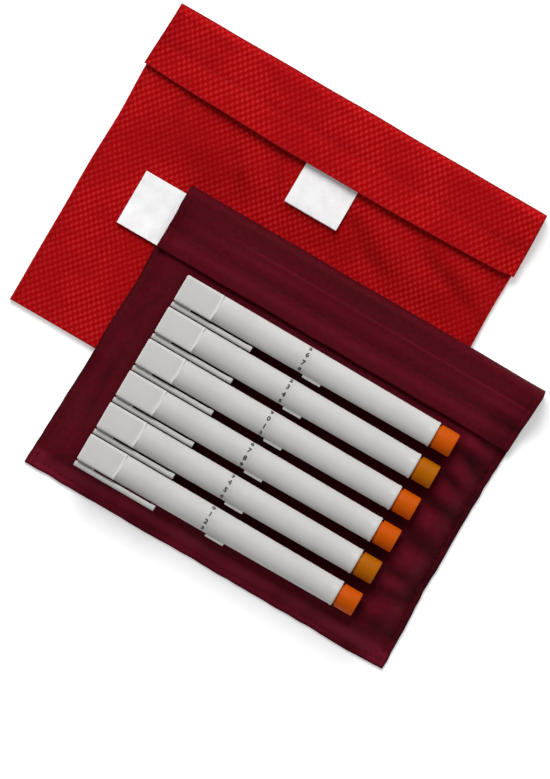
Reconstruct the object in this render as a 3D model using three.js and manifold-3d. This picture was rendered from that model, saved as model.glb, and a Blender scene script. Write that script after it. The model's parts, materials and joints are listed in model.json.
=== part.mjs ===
import * as THREE from 'three';
import { mergeVertices } from 'three/addons/utils/BufferGeometryUtils.js';
import Module from 'manifold-3d';

const wasm = await Module();
wasm.setup();

// Two cloth pouches for keeping insulin pens cool, and six pens that lie on the inner one.
// Millimetres, +Z up from the table. X runs along the pens, +Y towards the pouches' folded tops.

// Clearances
const gap = 0.3; // kept between pieces that touch
const overrun = 1; // how far a cutting or joining shape runs past the face it meets

// Outer pouch
const outerWidth = 215.6;
const outerLength = 174.7;
const outerPly = 1.4;
const outerSeam = 4; // flat band where the two panels are sewn together at each side
const outerMouthDrop = 12; // from the fold down to the front panel's free edge
const outerFoldDepth = 5;
const outerFlapDepth = 36;
const outerFlapFlare = 1.2; // how much the flap's free edge stands out past the body at each side
const outerSwell = 4.4; // how far the front panel stands off the back one at the mouth
const outerSideFall = 42; // width over which that swell dies out towards a side seam
const swellFall = 25; // length over which it dies out towards the inner pouch
const swellMargin = 2.5; // flat cloth left between the swell and the inner pouch

// Hook and loop strips that close the outer flap
const stripLength = 120;
const stripDepth = 11;
const stripPly = 0.6;
const stripInset = 3; // from the flap's free edge

// Woven labels, one on each pouch
const labelWidth = 30.4;
const labelLength = 27.3;
const labelPly = 0.5;
const labelSlope = 5; // length over which a label comes down to the cloth that it lies on
const outerLabelReach = 25.1; // past the outer flap's free edge
const outerLabelAside = 3.3; // from the middle of the outer pouch
const innerLabelReach = 22; // past the inner pouch's left edge
const innerLabelDrop = 20.4; // from the inner pouch's fold down to the label's middle

// Inner pouch
const innerWidth = 209.6;
const innerLength = 165;
const innerAside = 46.4; // from the middle of the outer pouch to the middle of the inner one
const innerDrop = 77.8; // from the outer fold down to the inner fold
const innerRoom = 4.4; // between the two linings
const innerSeam = 3; // flat band sewn together at the sides and the bottom
const innerEdge = 18; // width over which the filled panels rise from a seam to their full height
const innerMouthDrop = 12;
const innerFoldDepth = 4.5;
const innerFlapDepth = 36;
const innerFlapPly = 1.2;
const innerFlapShift = 1.4; // how far the flap's free edge has slipped to the right
const rampWidth = 12; // length over which the inner pouch comes down from the outer one to the table
const clothPly = 0.6;
const gelPly = 0.9;
const gelHem = 6; // from the mouth's edge down to the cooling pads

// Pens
const penCount = 6;
const penPitch = 18.95;
const penInset = 23.2; // from the inner pouch's left edge to the first pen's end
const penDrop = 11.85; // from the inner flap's free edge down to the first pen's axis
const penStagger = 0.4; // how much further left each pen lies than the one above it

// Pen cap, measured along the pen from its closed end
const capLength = 75.3;
const capRadius = 7.4;
const capEdgeRadius = 7.25;
const capEndWall = 3;
const capBore = 6.5;
const capTipBore = 4.8;
const blockLength = 21.4; // flattened closed end
const blockThick = 11.6;
const blockRamp = 1.8;
const clipLength = 47;
const clipHeight = 5.2;
const clipThick = 2.3;
const clipStandOff = 1.3; // free slot between the cap's side and the clip
const clipWebStart = 3.8;
const clipWebLength = 6.6;
const clipPadLength = 3.3;
const clipPadProud = 0.9;

// Barrel
const barrelLength = 73.9;
const barrelRadius = 7.25;
const barrelEndRadius = 6.8;
const barrelSocket = 14.4; // depth of the bore that takes the cartridge holder
const barrelSocketBore = 6.4;
const bulkheadThick = 4;
const bulkheadBore = 2.4;
const barrelBore = 5.5;
const bumpStart = 0.5;
const bumpLength = 10.5;
const bumpProud = 1.4;
const bumpHeight = 4;

// Button
const buttonLength = 11.2; // the part that shows past the barrel
const buttonRadius = 6.5;
const buttonChamfer = 0.8;
const buttonWall = 3; // at its closed end
const buttonBore = 2.6;
const stemRadius = 5.2;
const stemLength = 31;

// Cartridge holder and cartridge
const holderTipStart = 14;
const holderTipRadius = 4.3;
const holderCone = 1.7;
const holderRadius = 6;
const holderSeat = 8.9; // how far the holder goes into the barrel
const cartridgeNeckInset = 2; // from the holder's tip to the cartridge's closed end
const cartridgeNeckRadius = 2.9;
const cartridgeShoulder = 3.5;
const cartridgeRadius = 5.1;
const cartridgeLength = 64;
const glassWall = 0.7;
const glassEndWall = 1.2;

// Stopper and piston rod
const stopperRadius = 4.1;
const stopperLength = 7;
const stopperStart = 62;
const rodRadius = 2;
const rodLength = 63;
const rodFootRadius = 3.9;
const rodFootThick = 2;

// Steps round the round pieces
const shellSteps = 16;
const insideSteps = 12;
const rodSteps = 8;
const foldSteps = 6;

// Shares of a stretch at which a curved face gets a line of points
const rampShares = [0, 1 / 3, 2 / 3, 1];
const edgeShares = [0, 0.14, 0.3, 0.5, 0.75, 1];
const quiltShare = 0.5; // the pads and linings start this far up the rising edge

const finish = {
  red: { color: 0xb80f1a, roughness: 0.85, metalness: 0 },
  darkRed: { color: 0x7a0a12, roughness: 0.95, metalness: 0 },
  maroon: { color: 0x560d1f, roughness: 0.9, metalness: 0 },
  lining: { color: 0x2e0a14, roughness: 0.95, metalness: 0 },
  gel: { color: 0xd8dde0, roughness: 0.6, metalness: 0 },
  label: { color: 0xf0eeea, roughness: 0.8, metalness: 0 },
  pen: { color: 0xdcdcda, roughness: 0.45, metalness: 0 },
  holder: { color: 0xc9d2d6, roughness: 0.2, metalness: 0 },
  glass: { color: 0xe6eef0, roughness: 0.05, metalness: 0 },
  rubber: { color: 0x4a4d50, roughness: 0.8, metalness: 0 },
  rod: { color: 0xf2f2f0, roughness: 0.5, metalness: 0 },
  orange: { color: 0xe86410, roughness: 0.4, metalness: 0 },
  amber: { color: 0xc8800c, roughness: 0.4, metalness: 0 },
};

const model = new THREE.Group();

function addMesh(parent, name, geometry, look) {
  const mesh = new THREE.Mesh(geometry, new THREE.MeshStandardMaterial(look));
  mesh.name = name;
  parent.add(mesh);
  return mesh;
}

// Curves

const within = (t) => Math.min(Math.max(t, 0), 1);
const ease = (t) => (1 - Math.cos(Math.PI * within(t))) / 2; // level at both ends
const crown = (t) => Math.sin((Math.PI / 2) * within(t)); // steep at first, level at the end

// Closed solids from grids of points

function geometryFrom(points, faces) {
  const geometry = new THREE.BufferGeometry();
  geometry.setAttribute('position', new THREE.Float32BufferAttribute(points.flat(), 3));
  geometry.setIndex(faces.flat());
  geometry.computeVertexNormals();
  return geometry;
}

// A sheet with thickness. outside and inside give the two faces' points at column i and row j,
// and the outer face looks along (next column) x (next row).
function sheet(columns, rows, outside, inside) {
  const points = [];
  for (const face of [outside, inside]) {
    for (let i = 0; i < columns; i++) {
      for (let j = 0; j < rows; j++) points.push(face(i, j));
    }
  }
  const at = (side, i, j) => (side * columns + i) * rows + j;
  const faces = [];
  for (let i = 0; i + 1 < columns; i++) {
    for (let j = 0; j + 1 < rows; j++) {
      const [a, b, c, d] = [[i, j], [i + 1, j], [i + 1, j + 1], [i, j + 1]];
      faces.push([at(0, ...a), at(0, ...b), at(0, ...c)], [at(0, ...a), at(0, ...c), at(0, ...d)]);
      faces.push([at(1, ...a), at(1, ...c), at(1, ...b)], [at(1, ...a), at(1, ...d), at(1, ...c)]);
    }
  }
  const border = [];
  for (let i = 0; i < columns; i++) border.push([i, 0]);
  for (let j = 1; j < rows; j++) border.push([columns - 1, j]);
  for (let i = columns - 2; i >= 0; i--) border.push([i, rows - 1]);
  for (let j = rows - 2; j > 0; j--) border.push([0, j]);
  border.forEach((a, k) => {
    const b = border[(k + 1) % border.length];
    faces.push([at(0, ...b), at(0, ...a), at(1, ...a)], [at(0, ...b), at(1, ...a), at(1, ...b)]);
  });
  return geometryFrom(points, faces);
}

// A level sheet over the lines xs and ys, between the heights under(x, y) and over(x, y).
// place(x, y) moves a point of a line xs along X.
function slab(xs, ys, under, over, place = (x) => x) {
  const point = (height) => (i, j) => {
    const x = place(xs[i], ys[j]);
    return [x, ys[j], height(x, ys[j])];
  };
  return sheet(xs.length, ys.length, point(over), point(under));
}

// A fold: cloth that turns half round, from the flap's height down to the back panel's.
// section(x) gives low, high, the cloth's thickness at each, and the depth of the turn.
function fold(xs, yTop, section) {
  const point = (inner) => (i, j) => {
    const { low, high, lowPly, highPly, depth } = section(xs[i]);
    const angle = Math.PI * (0.5 - j / foldSteps);
    const share = j / foldSteps;
    const ply = inner * (highPly * (1 - share) + lowPly * share);
    const y = yTop - depth + (depth - ply) * Math.cos(angle);
    const z = (low + high) / 2 + ((high - low) / 2 - ply) * Math.sin(angle);
    return [xs[i], y, z];
  };
  return sheet(xs.length, foldSteps + 1, point(0), point(1));
}

// A solid through closed rings of points, each ring square to X, from the first ring to the last
function loft(rings) {
  const count = rings[0].length;
  const points = rings.flat();
  const middle = (ring) => ring
    .reduce((sum, p) => sum.map((v, k) => v + p[k]), [0, 0, 0])
    .map((v) => v / count);
  const faces = [];
  for (let r = 0; r + 1 < rings.length; r++) {
    for (let k = 0; k < count; k++) {
      const [a, b] = [r * count + k, r * count + (k + 1) % count];
      faces.push([a, b, a + count], [b, b + count, a + count]);
    }
  }
  points.push(middle(rings[0]), middle(rings[rings.length - 1]));
  const [first, last] = [points.length - 2, points.length - 1];
  const base = (rings.length - 1) * count;
  for (let k = 0; k < count; k++) {
    const next = (k + 1) % count;
    faces.push([first, next, k], [last, base + k, base + next]);
  }
  return geometryFrom(points, faces);
}

// A ring round the X axis at x. power 1 is round, and a higher one squares it off.
function ring(x, halfWidth, halfThick, steps, power = 1) {
  return Array.from({ length: steps }, (_, k) => {
    const angle = (2 * Math.PI * k) / steps;
    const squared = (v) => Math.sign(v) * Math.abs(v) ** (1 / power);
    return [x, halfWidth * squared(Math.sin(-angle)), halfThick * squared(Math.cos(angle))];
  });
}

// A piece turned about the X axis, from a profile of [radius, x] points that closes on itself
// or starts and ends on the axis
function turned(profile, steps) {
  const outline = profile.map(([radius, x]) => new THREE.Vector2(radius, x));
  const onAxis = profile[0][0] === 0;
  if (!onAxis) outline.push(outline[0].clone());
  const geometry = new THREE.LatheGeometry(outline, steps);
  geometry.rotateZ(-Math.PI / 2);
  return geometry;
}

function block(low, high) {
  const size = low.map((v, k) => high[k] - v);
  const geometry = new THREE.BoxGeometry(...size);
  geometry.translate(...low.map((v, k) => v + size[k] / 2));
  return geometry;
}

function solid(geometry) {
  const bare = geometry.clone();
  bare.deleteAttribute('normal');
  bare.deleteAttribute('uv');
  const merged = mergeVertices(bare);
  return new wasm.Manifold(new wasm.Mesh({
    numProp: 3,
    vertProperties: Float32Array.from(merged.attributes.position.array),
    triVerts: Uint32Array.from(merged.index.array),
  }));
}

function geometryOf(manifold) {
  const mesh = manifold.getMesh();
  const geometry = new THREE.BufferGeometry();
  geometry.setAttribute('position', new THREE.BufferAttribute(mesh.vertProperties, mesh.numProp));
  geometry.setIndex(new THREE.BufferAttribute(mesh.triVerts, 1));
  geometry.computeVertexNormals();
  return geometry;
}

// Layout of the pouches, with the middle of the outer pouch's fold at x = 0, y = 0

const outerSide = outerWidth / 2;
const innerLeft = innerAside - innerWidth / 2;
const innerRight = innerAside + innerWidth / 2;
const innerBottom = -innerDrop - innerLength;
const farLeft = -outerSide - outerFlapFlare;
const farRight = innerRight + innerFlapShift;
const layout = new THREE.Group();
layout.position.set(-(farLeft + farRight) / 2, -innerBottom / 2, 0);
model.add(layout);

// Outer pouch heights

const swellEnd = innerDrop - swellMargin;
const swellStart = swellEnd - swellFall;
const stripStack = 2 * (stripPly + gap);

function outerAcross(x) {
  return crown((outerSide - outerSeam - Math.abs(x)) / outerSideFall);
}

const outerAlong = (y) => 1 - ease((-y - swellStart) / swellFall);
const outerFrontUnder = (x, y) => outerPly + gap + outerSwell * outerAcross(x) * outerAlong(y);
const outerFrontTop = (x, y) => outerFrontUnder(x, y) + outerPly;

// The flap is level along the fold, and comes down to the side seams towards its free edge.
function outerFlapUnder(x, y) {
  const fromFold = (-y - outerFoldDepth) / (outerFlapDepth - outerFoldDepth);
  const across = 1 - (1 - outerAcross(x)) * ease(fromFold);
  return 2 * (outerPly + gap) + (outerSwell * outerAlong(y) + stripStack) * across;
}

const outerFlapTop = (x, y) => outerFlapUnder(x, y) + outerPly;
const flapRows = (free, start) => rampShares.map((share) => free + (start - free) * share);

const outerRise = edgeShares.map((share) => outerSide - outerSeam - outerSideFall * share);
const outerXs = [outerSide, ...outerRise];
const outerLines = [...outerXs.map((x) => -x), ...outerXs.reverse()];

function addOuterPouch() {
  const foldStart = -outerFoldDepth - gap;
  const swellLines = rampShares.map((share) => -swellStart - swellFall * share).reverse();
  const bodyXs = [-outerSide, outerSide];
  const flat = (height) => () => height;
  addMesh(layout, 'outer_back_panel',
    slab(bodyXs, [-outerLength, foldStart], flat(0), flat(outerPly)), finish.red);
  addMesh(layout, 'outer_front_panel',
    slab(outerLines, [-outerLength, ...swellLines, -outerMouthDrop], outerFrontUnder, outerFrontTop),
    finish.red);
  addMesh(layout, 'outer_fold', fold(outerLines, 0, (x) => ({
    low: 0,
    high: outerFlapTop(x, 0),
    lowPly: outerPly,
    highPly: outerPly,
    depth: outerFoldDepth,
  })), finish.red);
  const flared = (x, y) => x * (1 + ((outerFlapFlare / outerSide) * -y) / outerFlapDepth);
  addMesh(layout, 'outer_flap',
    slab(outerLines, flapRows(-outerFlapDepth, foldStart), outerFlapUnder, outerFlapTop, flared),
    finish.red);
  const stripSide = stripLength / 2;
  const stripXs = [-stripSide, ...outerLines.filter((x) => Math.abs(x) < stripSide), stripSide];
  const stripLow = -outerFlapDepth + stripInset;
  const stripYs = [stripLow, stripLow + stripDepth];
  const stripAt = (lift) => [
    (x, y) => outerFrontTop(x, y) + lift,
    (x, y) => outerFrontTop(x, y) + lift + stripPly,
  ];
  addMesh(layout, 'outer_loop_strip', slab(stripXs, stripYs, ...stripAt(gap)), finish.darkRed);
  addMesh(layout, 'outer_hook_strip',
    slab(stripXs, stripYs, ...stripAt(gap + stripPly + gap)), finish.darkRed);
}

// The outer label hangs from under the flap's free edge and comes down to the front panel.
function addOuterLabel() {
  const xs = [outerLabelAside - labelWidth / 2, outerLabelAside + labelWidth / 2];
  const end = -outerFlapDepth - outerLabelReach;
  const tucked = stripStack + gap - labelPly - gap;
  const fall = (y) => ease((-y - outerFlapDepth) / labelSlope);
  const under = (x, y) => outerFrontTop(x, y) + gap + (tucked - gap) * (1 - fall(y));
  const over = (x, y) => under(x, y) + labelPly;
  const slopeLines = rampShares.map((share) => -outerFlapDepth - labelSlope * share).reverse();
  const swellLine = -swellStart - swellFall * rampShares[1];
  const ys = [end, swellLine, -swellStart, ...slopeLines, end + labelLength];
  addMesh(layout, 'outer_label', slab(xs, ys, under, over), finish.label);
}

// Inner pouch heights

const outerPressed = 2 * outerPly + gap;
const panelStack = 2 * clothPly + gelPly + 2 * gap;
const seamStack = 2 * clothPly + gap;
const innerPlateau = outerPressed + gap + 2 * panelStack + innerRoom;

// The underside lies on the outer pouch and comes down to the table past its side and bottom.
function innerBase(x, y) {
  const pastSide = ease((x - outerSide - gap) / rampWidth);
  const pastBottom = ease((-outerLength - gap - y) / rampWidth);
  return (outerPressed + gap) * (1 - pastSide) * (1 - pastBottom);
}

function innerTop(x, y) {
  const sides = crown((x - innerLeft - innerSeam) / innerEdge)
    * crown((innerRight - innerSeam - x) / innerEdge);
  const bottom = crown((y - innerBottom - innerSeam) / innerEdge);
  const low = innerBase(x, y) + seamStack;
  return low + (innerPlateau - low) * sides * bottom;
}

const riseFrom = (seam, way) => edgeShares.map((share) => seam + way * (innerSeam + innerEdge * share));
const innerLines = [
  innerLeft,
  ...riseFrom(innerLeft, 1),
  ...rampShares.map((share) => outerSide + gap + rampWidth * share),
  ...riseFrom(innerRight, -1).reverse(),
  innerRight,
];
const innerRows = [
  innerBottom,
  ...riseFrom(innerBottom, 1),
  ...rampShares.map((share) => -outerLength - gap - rampWidth * share).reverse(),
];
const innerFoldStart = -innerDrop - innerFoldDepth - gap;
const innerMouth = -innerDrop - innerMouthDrop;
const quiltInset = innerSeam + innerEdge * quiltShare;
const quilted = (lines, low, high) => lines.filter(
  (v) => v > low + quiltInset - overrun && v < high - quiltInset + overrun,
);

// One ply of the inner pouch, lifted off the underside or sunk below the top by a fixed amount
function ply(xs, ys, surface, low, thick) {
  return slab(xs, ys, (x, y) => surface(x, y) + low, (x, y) => surface(x, y) + low + thick);
}

function addInnerPouch() {
  const gelStart = clothPly + gap;
  const liningStart = gelStart + gelPly + gap;
  const quiltXs = quilted(innerLines, innerLeft, innerRight);
  const quiltYs = quilted(innerRows, innerBottom, 0);
  const gelTop = innerMouth - gelHem;
  addMesh(layout, 'inner_back_cloth',
    ply(innerLines, [...innerRows, innerFoldStart], innerBase, 0, clothPly), finish.maroon);
  addMesh(layout, 'inner_back_gel',
    ply(quiltXs, [...quiltYs, gelTop], innerBase, gelStart, gelPly), finish.gel);
  addMesh(layout, 'inner_back_lining',
    ply(quiltXs, [...quiltYs, innerMouth], innerBase, liningStart, clothPly), finish.lining);
  addMesh(layout, 'inner_front_lining',
    ply(quiltXs, [...quiltYs, innerMouth], innerTop, -panelStack, clothPly), finish.lining);
  addMesh(layout, 'inner_front_gel',
    ply(quiltXs, [...quiltYs, gelTop], innerTop, -gelStart - gelPly, gelPly), finish.gel);
  addMesh(layout, 'inner_front_cloth',
    ply(innerLines, [...innerRows, innerMouth], innerTop, -clothPly, clothPly), finish.maroon);
}

// The inner flap clears its label, which lies between it and the front panel.
const innerFlapLift = labelPly + 2 * gap;

// Like the outer one, it is level along the fold and comes down to the side seams.
function innerFlapUnder(x, y) {
  const fromFold = (-innerDrop - innerFoldDepth - y) / (innerFlapDepth - innerFoldDepth);
  return innerPlateau - (innerPlateau - innerTop(x, y)) * ease(fromFold) + innerFlapLift;
}

const innerFlapTop = (x, y) => innerFlapUnder(x, y) + innerFlapPly;

function addInnerFlap() {
  const slipped = (x, y) => x + (innerFlapShift * (-y - innerDrop)) / innerFlapDepth;
  addMesh(layout, 'inner_fold', fold(innerLines, -innerDrop, (x) => ({
    low: innerBase(x, -innerDrop),
    high: innerFlapTop(x, -innerDrop),
    lowPly: clothPly,
    highPly: innerFlapPly,
    depth: innerFoldDepth,
  })), finish.maroon);
  const rows = flapRows(-innerDrop - innerFlapDepth, innerFoldStart);
  addMesh(layout, 'inner_flap',
    slab(innerLines, rows, innerFlapUnder, innerFlapTop, slipped), finish.maroon);
}

// The inner label comes out from under the flap's left end and down onto the outer pouch.
function addInnerLabel() {
  const end = innerLeft - innerLabelReach;
  const middle = -innerDrop - innerLabelDrop;
  const ys = [middle - labelWidth / 2, middle + labelWidth / 2];
  const slopeLines = rampShares.map((share) => innerLeft - gap - labelSlope * share).reverse();
  const xs = [end, ...slopeLines, innerLeft + innerSeam, end + labelLength];
  const under = (x, y) => {
    const high = innerTop(Math.max(x, innerLeft), y) + gap;
    const down = ease((innerLeft - gap - x) / labelSlope);
    return high + (outerPressed + gap - high) * down;
  };
  addMesh(layout, 'inner_label',
    slab(xs, ys, under, (x, y) => under(x, y) + labelPly), finish.label);
}

// Pen pieces. Each is made along X from the cap's closed end, with the pen's axis at y = 0, z = 0.

const barrelStart = capLength + gap;
const barrelEnd = barrelStart + barrelLength;
const socketEnd = barrelStart + barrelSocket;
const bulkheadEnd = socketEnd + bulkheadThick;

const rampEnd = blockLength + blockRamp;
const capStep = rampEnd + gap; // where the cap's bore widens, behind the flattened end

function capShape() {
  const [half, thick] = [capRadius, blockThick / 2];
  const outside = loft([
    ring(0, half - blockRamp / 2, thick - blockRamp / 2, shellSteps, 2),
    ring(blockRamp / 2, half, thick, shellSteps, 2),
    ring(blockLength, half, thick, shellSteps, 2),
    ring(rampEnd, capRadius, capRadius, shellSteps),
    ring(capLength, capEdgeRadius, capEdgeRadius, shellSteps),
  ]);
  const hollow = loft([
    ring(capEndWall, capTipBore, capTipBore, shellSteps),
    ring(capStep, capTipBore, capTipBore, shellSteps),
    ring(capStep + gap, capBore, capBore, shellSteps),
    ring(capLength + overrun, capBore, capBore, shellSteps),
  ]);
  const barInner = -capRadius - clipStandOff;
  const barOuter = barInner - clipThick;
  const [low, high] = [-clipHeight / 2, clipHeight / 2];
  const clip = [
    block([0, barOuter, low], [clipLength, barInner, high]),
    block([clipWebStart, barInner - overrun, low],
      [clipWebStart + clipWebLength, -capTipBore - overrun, high]),
    block([clipLength - clipPadLength, barInner - overrun, low],
      [clipLength, barInner + clipPadProud, high]),
  ];
  const joined = clip.reduce((body, piece) => body.add(solid(piece)), solid(outside));
  return geometryOf(joined.subtract(solid(hollow)));
}

function barrelShape() {
  const shell = turned([
    [barrelRadius, barrelStart],
    [barrelEndRadius, barrelEnd],
    [barrelBore, barrelEnd],
    [barrelBore, bulkheadEnd],
    [bulkheadBore, bulkheadEnd],
    [bulkheadBore, socketEnd],
    [barrelSocketBore, socketEnd],
    [barrelSocketBore, barrelStart],
  ], shellSteps);
  const start = barrelStart + bumpStart;
  const bump = block(
    [start, -barrelRadius - bumpProud, -bumpHeight / 2],
    [start + bumpLength, -(barrelRadius + barrelSocketBore) / 2, bumpHeight / 2],
  );
  return geometryOf(solid(shell).add(solid(bump)));
}

function buttonShape() {
  const start = barrelEnd + gap;
  const end = start + buttonLength;
  const stemStart = start - stemLength;
  return turned([
    [0, end - buttonWall],
    [buttonBore, end - buttonWall],
    [buttonBore, stemStart],
    [stemRadius, stemStart],
    [stemRadius, start],
    [buttonRadius, start],
    [buttonRadius, end - buttonChamfer],
    [buttonRadius - buttonChamfer, end],
    [0, end],
  ], insideSteps);
}

const holderTipEnd = capStep + gap;
const neckStart = holderTipStart + cartridgeNeckInset;
const neckEnd = holderTipEnd + gap;
const shoulderEnd = neckEnd + cartridgeShoulder;

function holderShape() {
  const holderEnd = barrelStart + holderSeat;
  const [neckBore, bore] = [cartridgeNeckRadius + gap, cartridgeRadius + gap];
  return turned([
    [holderTipRadius, holderTipStart],
    [holderTipRadius, holderTipEnd],
    [holderRadius, holderTipEnd + holderCone],
    [holderRadius, holderEnd],
    [bore, holderEnd],
    [bore, shoulderEnd - gap],
    [neckBore, neckEnd - gap],
    [neckBore, holderTipStart],
  ], insideSteps);
}

function cartridgeShape() {
  const end = neckStart + cartridgeLength;
  return turned([
    [0, neckStart],
    [cartridgeNeckRadius, neckStart],
    [cartridgeNeckRadius, neckEnd],
    [cartridgeRadius, shoulderEnd],
    [cartridgeRadius, end],
    [cartridgeRadius - glassWall, end],
    [cartridgeRadius - glassWall, shoulderEnd + glassWall],
    [cartridgeNeckRadius - glassWall, neckEnd + glassWall],
    [cartridgeNeckRadius - glassWall, neckStart + glassEndWall],
    [0, neckStart + glassEndWall],
  ], insideSteps);
}

function stopperShape() {
  return loft([stopperStart, stopperStart + stopperLength]
    .map((x) => ring(x, stopperRadius, stopperRadius, insideSteps)));
}

function rodShape() {
  const start = stopperStart + stopperLength + gap;
  return turned([
    [0, start],
    [rodFootRadius, start],
    [rodFootRadius, start + rodFootThick],
    [rodRadius, start + rodFootThick],
    [rodRadius, start + rodLength],
    [0, start + rodLength],
  ], rodSteps);
}

function addPens() {
  const buttonLooks = [finish.orange, finish.amber, finish.orange];
  const pieces = [
    ['cap', capShape(), () => finish.pen],
    ['barrel', barrelShape(), () => finish.pen],
    ['holder', holderShape(), () => finish.holder],
    ['cartridge', cartridgeShape(), () => finish.glass],
    ['stopper', stopperShape(), () => finish.rubber],
    ['rod', rodShape(), () => finish.rod],
    ['button', buttonShape(), (index) => buttonLooks[index % buttonLooks.length]],
  ];
  for (let index = 0; index < penCount; index++) {
    const pen = new THREE.Group();
    pen.position.set(
      innerLeft + penInset - penStagger * index,
      -innerDrop - innerFlapDepth - penDrop - penPitch * index,
      innerPlateau + gap + capRadius,
    );
    for (const [piece, shape, look] of pieces) {
      addMesh(pen, `pen_${index + 1}_${piece}`, shape, look(index));
    }
    layout.add(pen);
  }
}

addOuterPouch();
addOuterLabel();
addInnerPouch();
addInnerFlap();
addInnerLabel();
addPens();

export default model;
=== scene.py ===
import json
import math
import random

import bmesh
import bpy
import numpy as np
from bpy.props import FloatProperty, FloatVectorProperty, IntProperty, PointerProperty
from bpy.types import Operator, Panel, PropertyGroup
from mathutils import Matrix, Vector, noise
from mathutils.bvhtree import BVHTree

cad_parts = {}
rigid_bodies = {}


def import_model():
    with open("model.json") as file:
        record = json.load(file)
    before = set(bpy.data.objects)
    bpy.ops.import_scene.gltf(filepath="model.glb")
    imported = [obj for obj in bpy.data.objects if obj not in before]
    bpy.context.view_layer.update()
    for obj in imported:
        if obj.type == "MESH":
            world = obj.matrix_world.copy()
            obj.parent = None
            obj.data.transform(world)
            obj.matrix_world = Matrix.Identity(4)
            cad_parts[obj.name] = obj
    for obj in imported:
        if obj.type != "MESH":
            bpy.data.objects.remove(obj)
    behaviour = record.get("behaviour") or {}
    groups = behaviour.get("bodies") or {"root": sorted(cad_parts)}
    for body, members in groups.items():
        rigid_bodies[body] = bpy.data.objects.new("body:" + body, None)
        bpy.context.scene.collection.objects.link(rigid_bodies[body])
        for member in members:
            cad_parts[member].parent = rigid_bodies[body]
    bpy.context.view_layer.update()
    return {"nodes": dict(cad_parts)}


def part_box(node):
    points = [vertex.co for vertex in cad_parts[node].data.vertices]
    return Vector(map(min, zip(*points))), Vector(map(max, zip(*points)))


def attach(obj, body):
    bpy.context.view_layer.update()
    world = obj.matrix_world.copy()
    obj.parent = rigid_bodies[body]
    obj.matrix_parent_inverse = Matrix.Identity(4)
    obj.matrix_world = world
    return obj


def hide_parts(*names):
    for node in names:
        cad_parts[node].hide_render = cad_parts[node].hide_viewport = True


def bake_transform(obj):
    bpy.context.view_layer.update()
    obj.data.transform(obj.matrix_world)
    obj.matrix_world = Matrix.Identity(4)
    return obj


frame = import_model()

bl_info = {
    "name": "Insulin cooling case",
    "version": (1, 0, 0),
    "blender": (4, 5, 0),
    "location": "View3D > Sidebar > Cooling case",
    "description": "Dresses the cooling case's two cloth pouches and the pens that lie on them",
    "category": "Object",
}

MM = 0.001
PENS = range(1, 7)
UP = Vector((0, 0, 1))


def linear(red, green, blue):
    """A screen colour of 0 to 255 as Blender's linear one, with full alpha."""
    shares = [value / 255 for value in (red, green, blue)]
    curve = [s / 12.92 if s <= 0.04045 else ((s + 0.055) / 1.055) ** 2.4 for s in shares]
    return (*curve, 1.0)


# Sizes and finishes that a user would change


def colour(name, red, green, blue, description):
    return FloatVectorProperty(
        name=name, description=description, subtype="COLOR", size=4, min=0, max=1,
        default=linear(red, green, blue),
    )


def length(name, millimetres, description):
    return FloatProperty(
        name=name, description=description, default=millimetres * MM, min=0,
        unit="LENGTH", subtype="DISTANCE", precision=5,
    )


class ClothSettings(PropertyGroup):
    red: colour("Red", 157, 0, 1, "Ground of the outer pouch's weave")
    # the raised yarns' paler red is partly their own colour and partly their painted sheen, and the folds'
    # crests take it as a painted highlight
    red_raised: colour("Raised red", 188, 30, 35, "Raised yarns of the outer pouch's weave")
    maroon: colour("Maroon", 80, 1, 15, "Inner pouch's cotton, in its darker patches")
    maroon_light: colour("Light maroon", 86, 4, 21, "Inner pouch's cotton, in its lighter patches")
    lining: colour("Lining", 46, 8, 18, "Inside of the inner pouch")
    label: colour("Label", 250, 249, 250, "Satin of the two labels")
    cotton_thread: length("Cotton thread", 0.42, "Pitch of the inner pouch's threads")
    mesh_step: length("Mesh step", 1.5, "Size of the faces that the cloth is made of")
    stitch: length("Stitch", 2.3, "Length of one stitch that shows")
    stitch_gap: length("Stitch gap", 0.9, "Cloth between two stitches")
    thread: length("Thread", 0.42, "Thickness of the sewing thread")


class PenSettings(PropertyGroup):
    body: colour("Pen body", 208, 207, 205, "Moulded caps and barrels")
    orange: colour("Orange", 193, 80, 2, "Buttons of four of the pens")
    amber: colour("Amber", 168, 92, 0, "Buttons of the other two")
    ink: colour("Ink", 48, 48, 52, "Numbers printed round the cap's edge")
    round_steps: IntProperty(
        name="Round steps", description="Faces round each pen", default=64, min=16, max=256
    )
    number_height: length("Number height", 2.5, "Height of the numbers")


class StageSettings(PropertyGroup):
    sky: FloatProperty(name="Sky", description="Light from all round", default=0.27, min=0)
    key: FloatProperty(name="Key lamp", description="Power of the large soft lamp above", default=59.5, min=0)
    side: FloatProperty(name="Side lamp", description="Power of the low lamp behind", default=13.5, min=0)
    fill: FloatProperty(name="Fill lamp", description="Power of the low lamp in front", default=10, min=0)


# Numbers and curves over arrays of points

WAVE_GAIN = 1.6  # brings Blender's noise to about -1 to 1
BLUNT = 0.8  # a power that fills out the ends of a sine's hump


def ease(share):
    """From 0 to 1, level at both ends."""
    return (1 - np.cos(np.pi * np.clip(share, 0, 1))) / 2


def bell(distance, width):
    return np.exp(-((distance / width) ** 2))


def waves(x, y, size, seed):
    """Smooth noise of about -1 to 1, whose waves are some size millimetres long."""
    x, y = np.broadcast_arrays(x, y)
    scale = size * MM
    flat = [noise.noise((a / scale, b / scale, seed)) for a, b in zip(x.ravel(), y.ravel())]
    return WAVE_GAIN * np.array(flat).reshape(x.shape)


def wander(x, size, seed):
    """Smooth noise that changes along one line alone."""
    return waves(x, 0 * x, size, seed)


def rumpled(x, y, *layers):
    """Waves laid over each other, each with its height and length in millimetres and its seed."""
    return sum(height * MM * waves(x, y, size, seed) for height, size, seed in layers)


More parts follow.
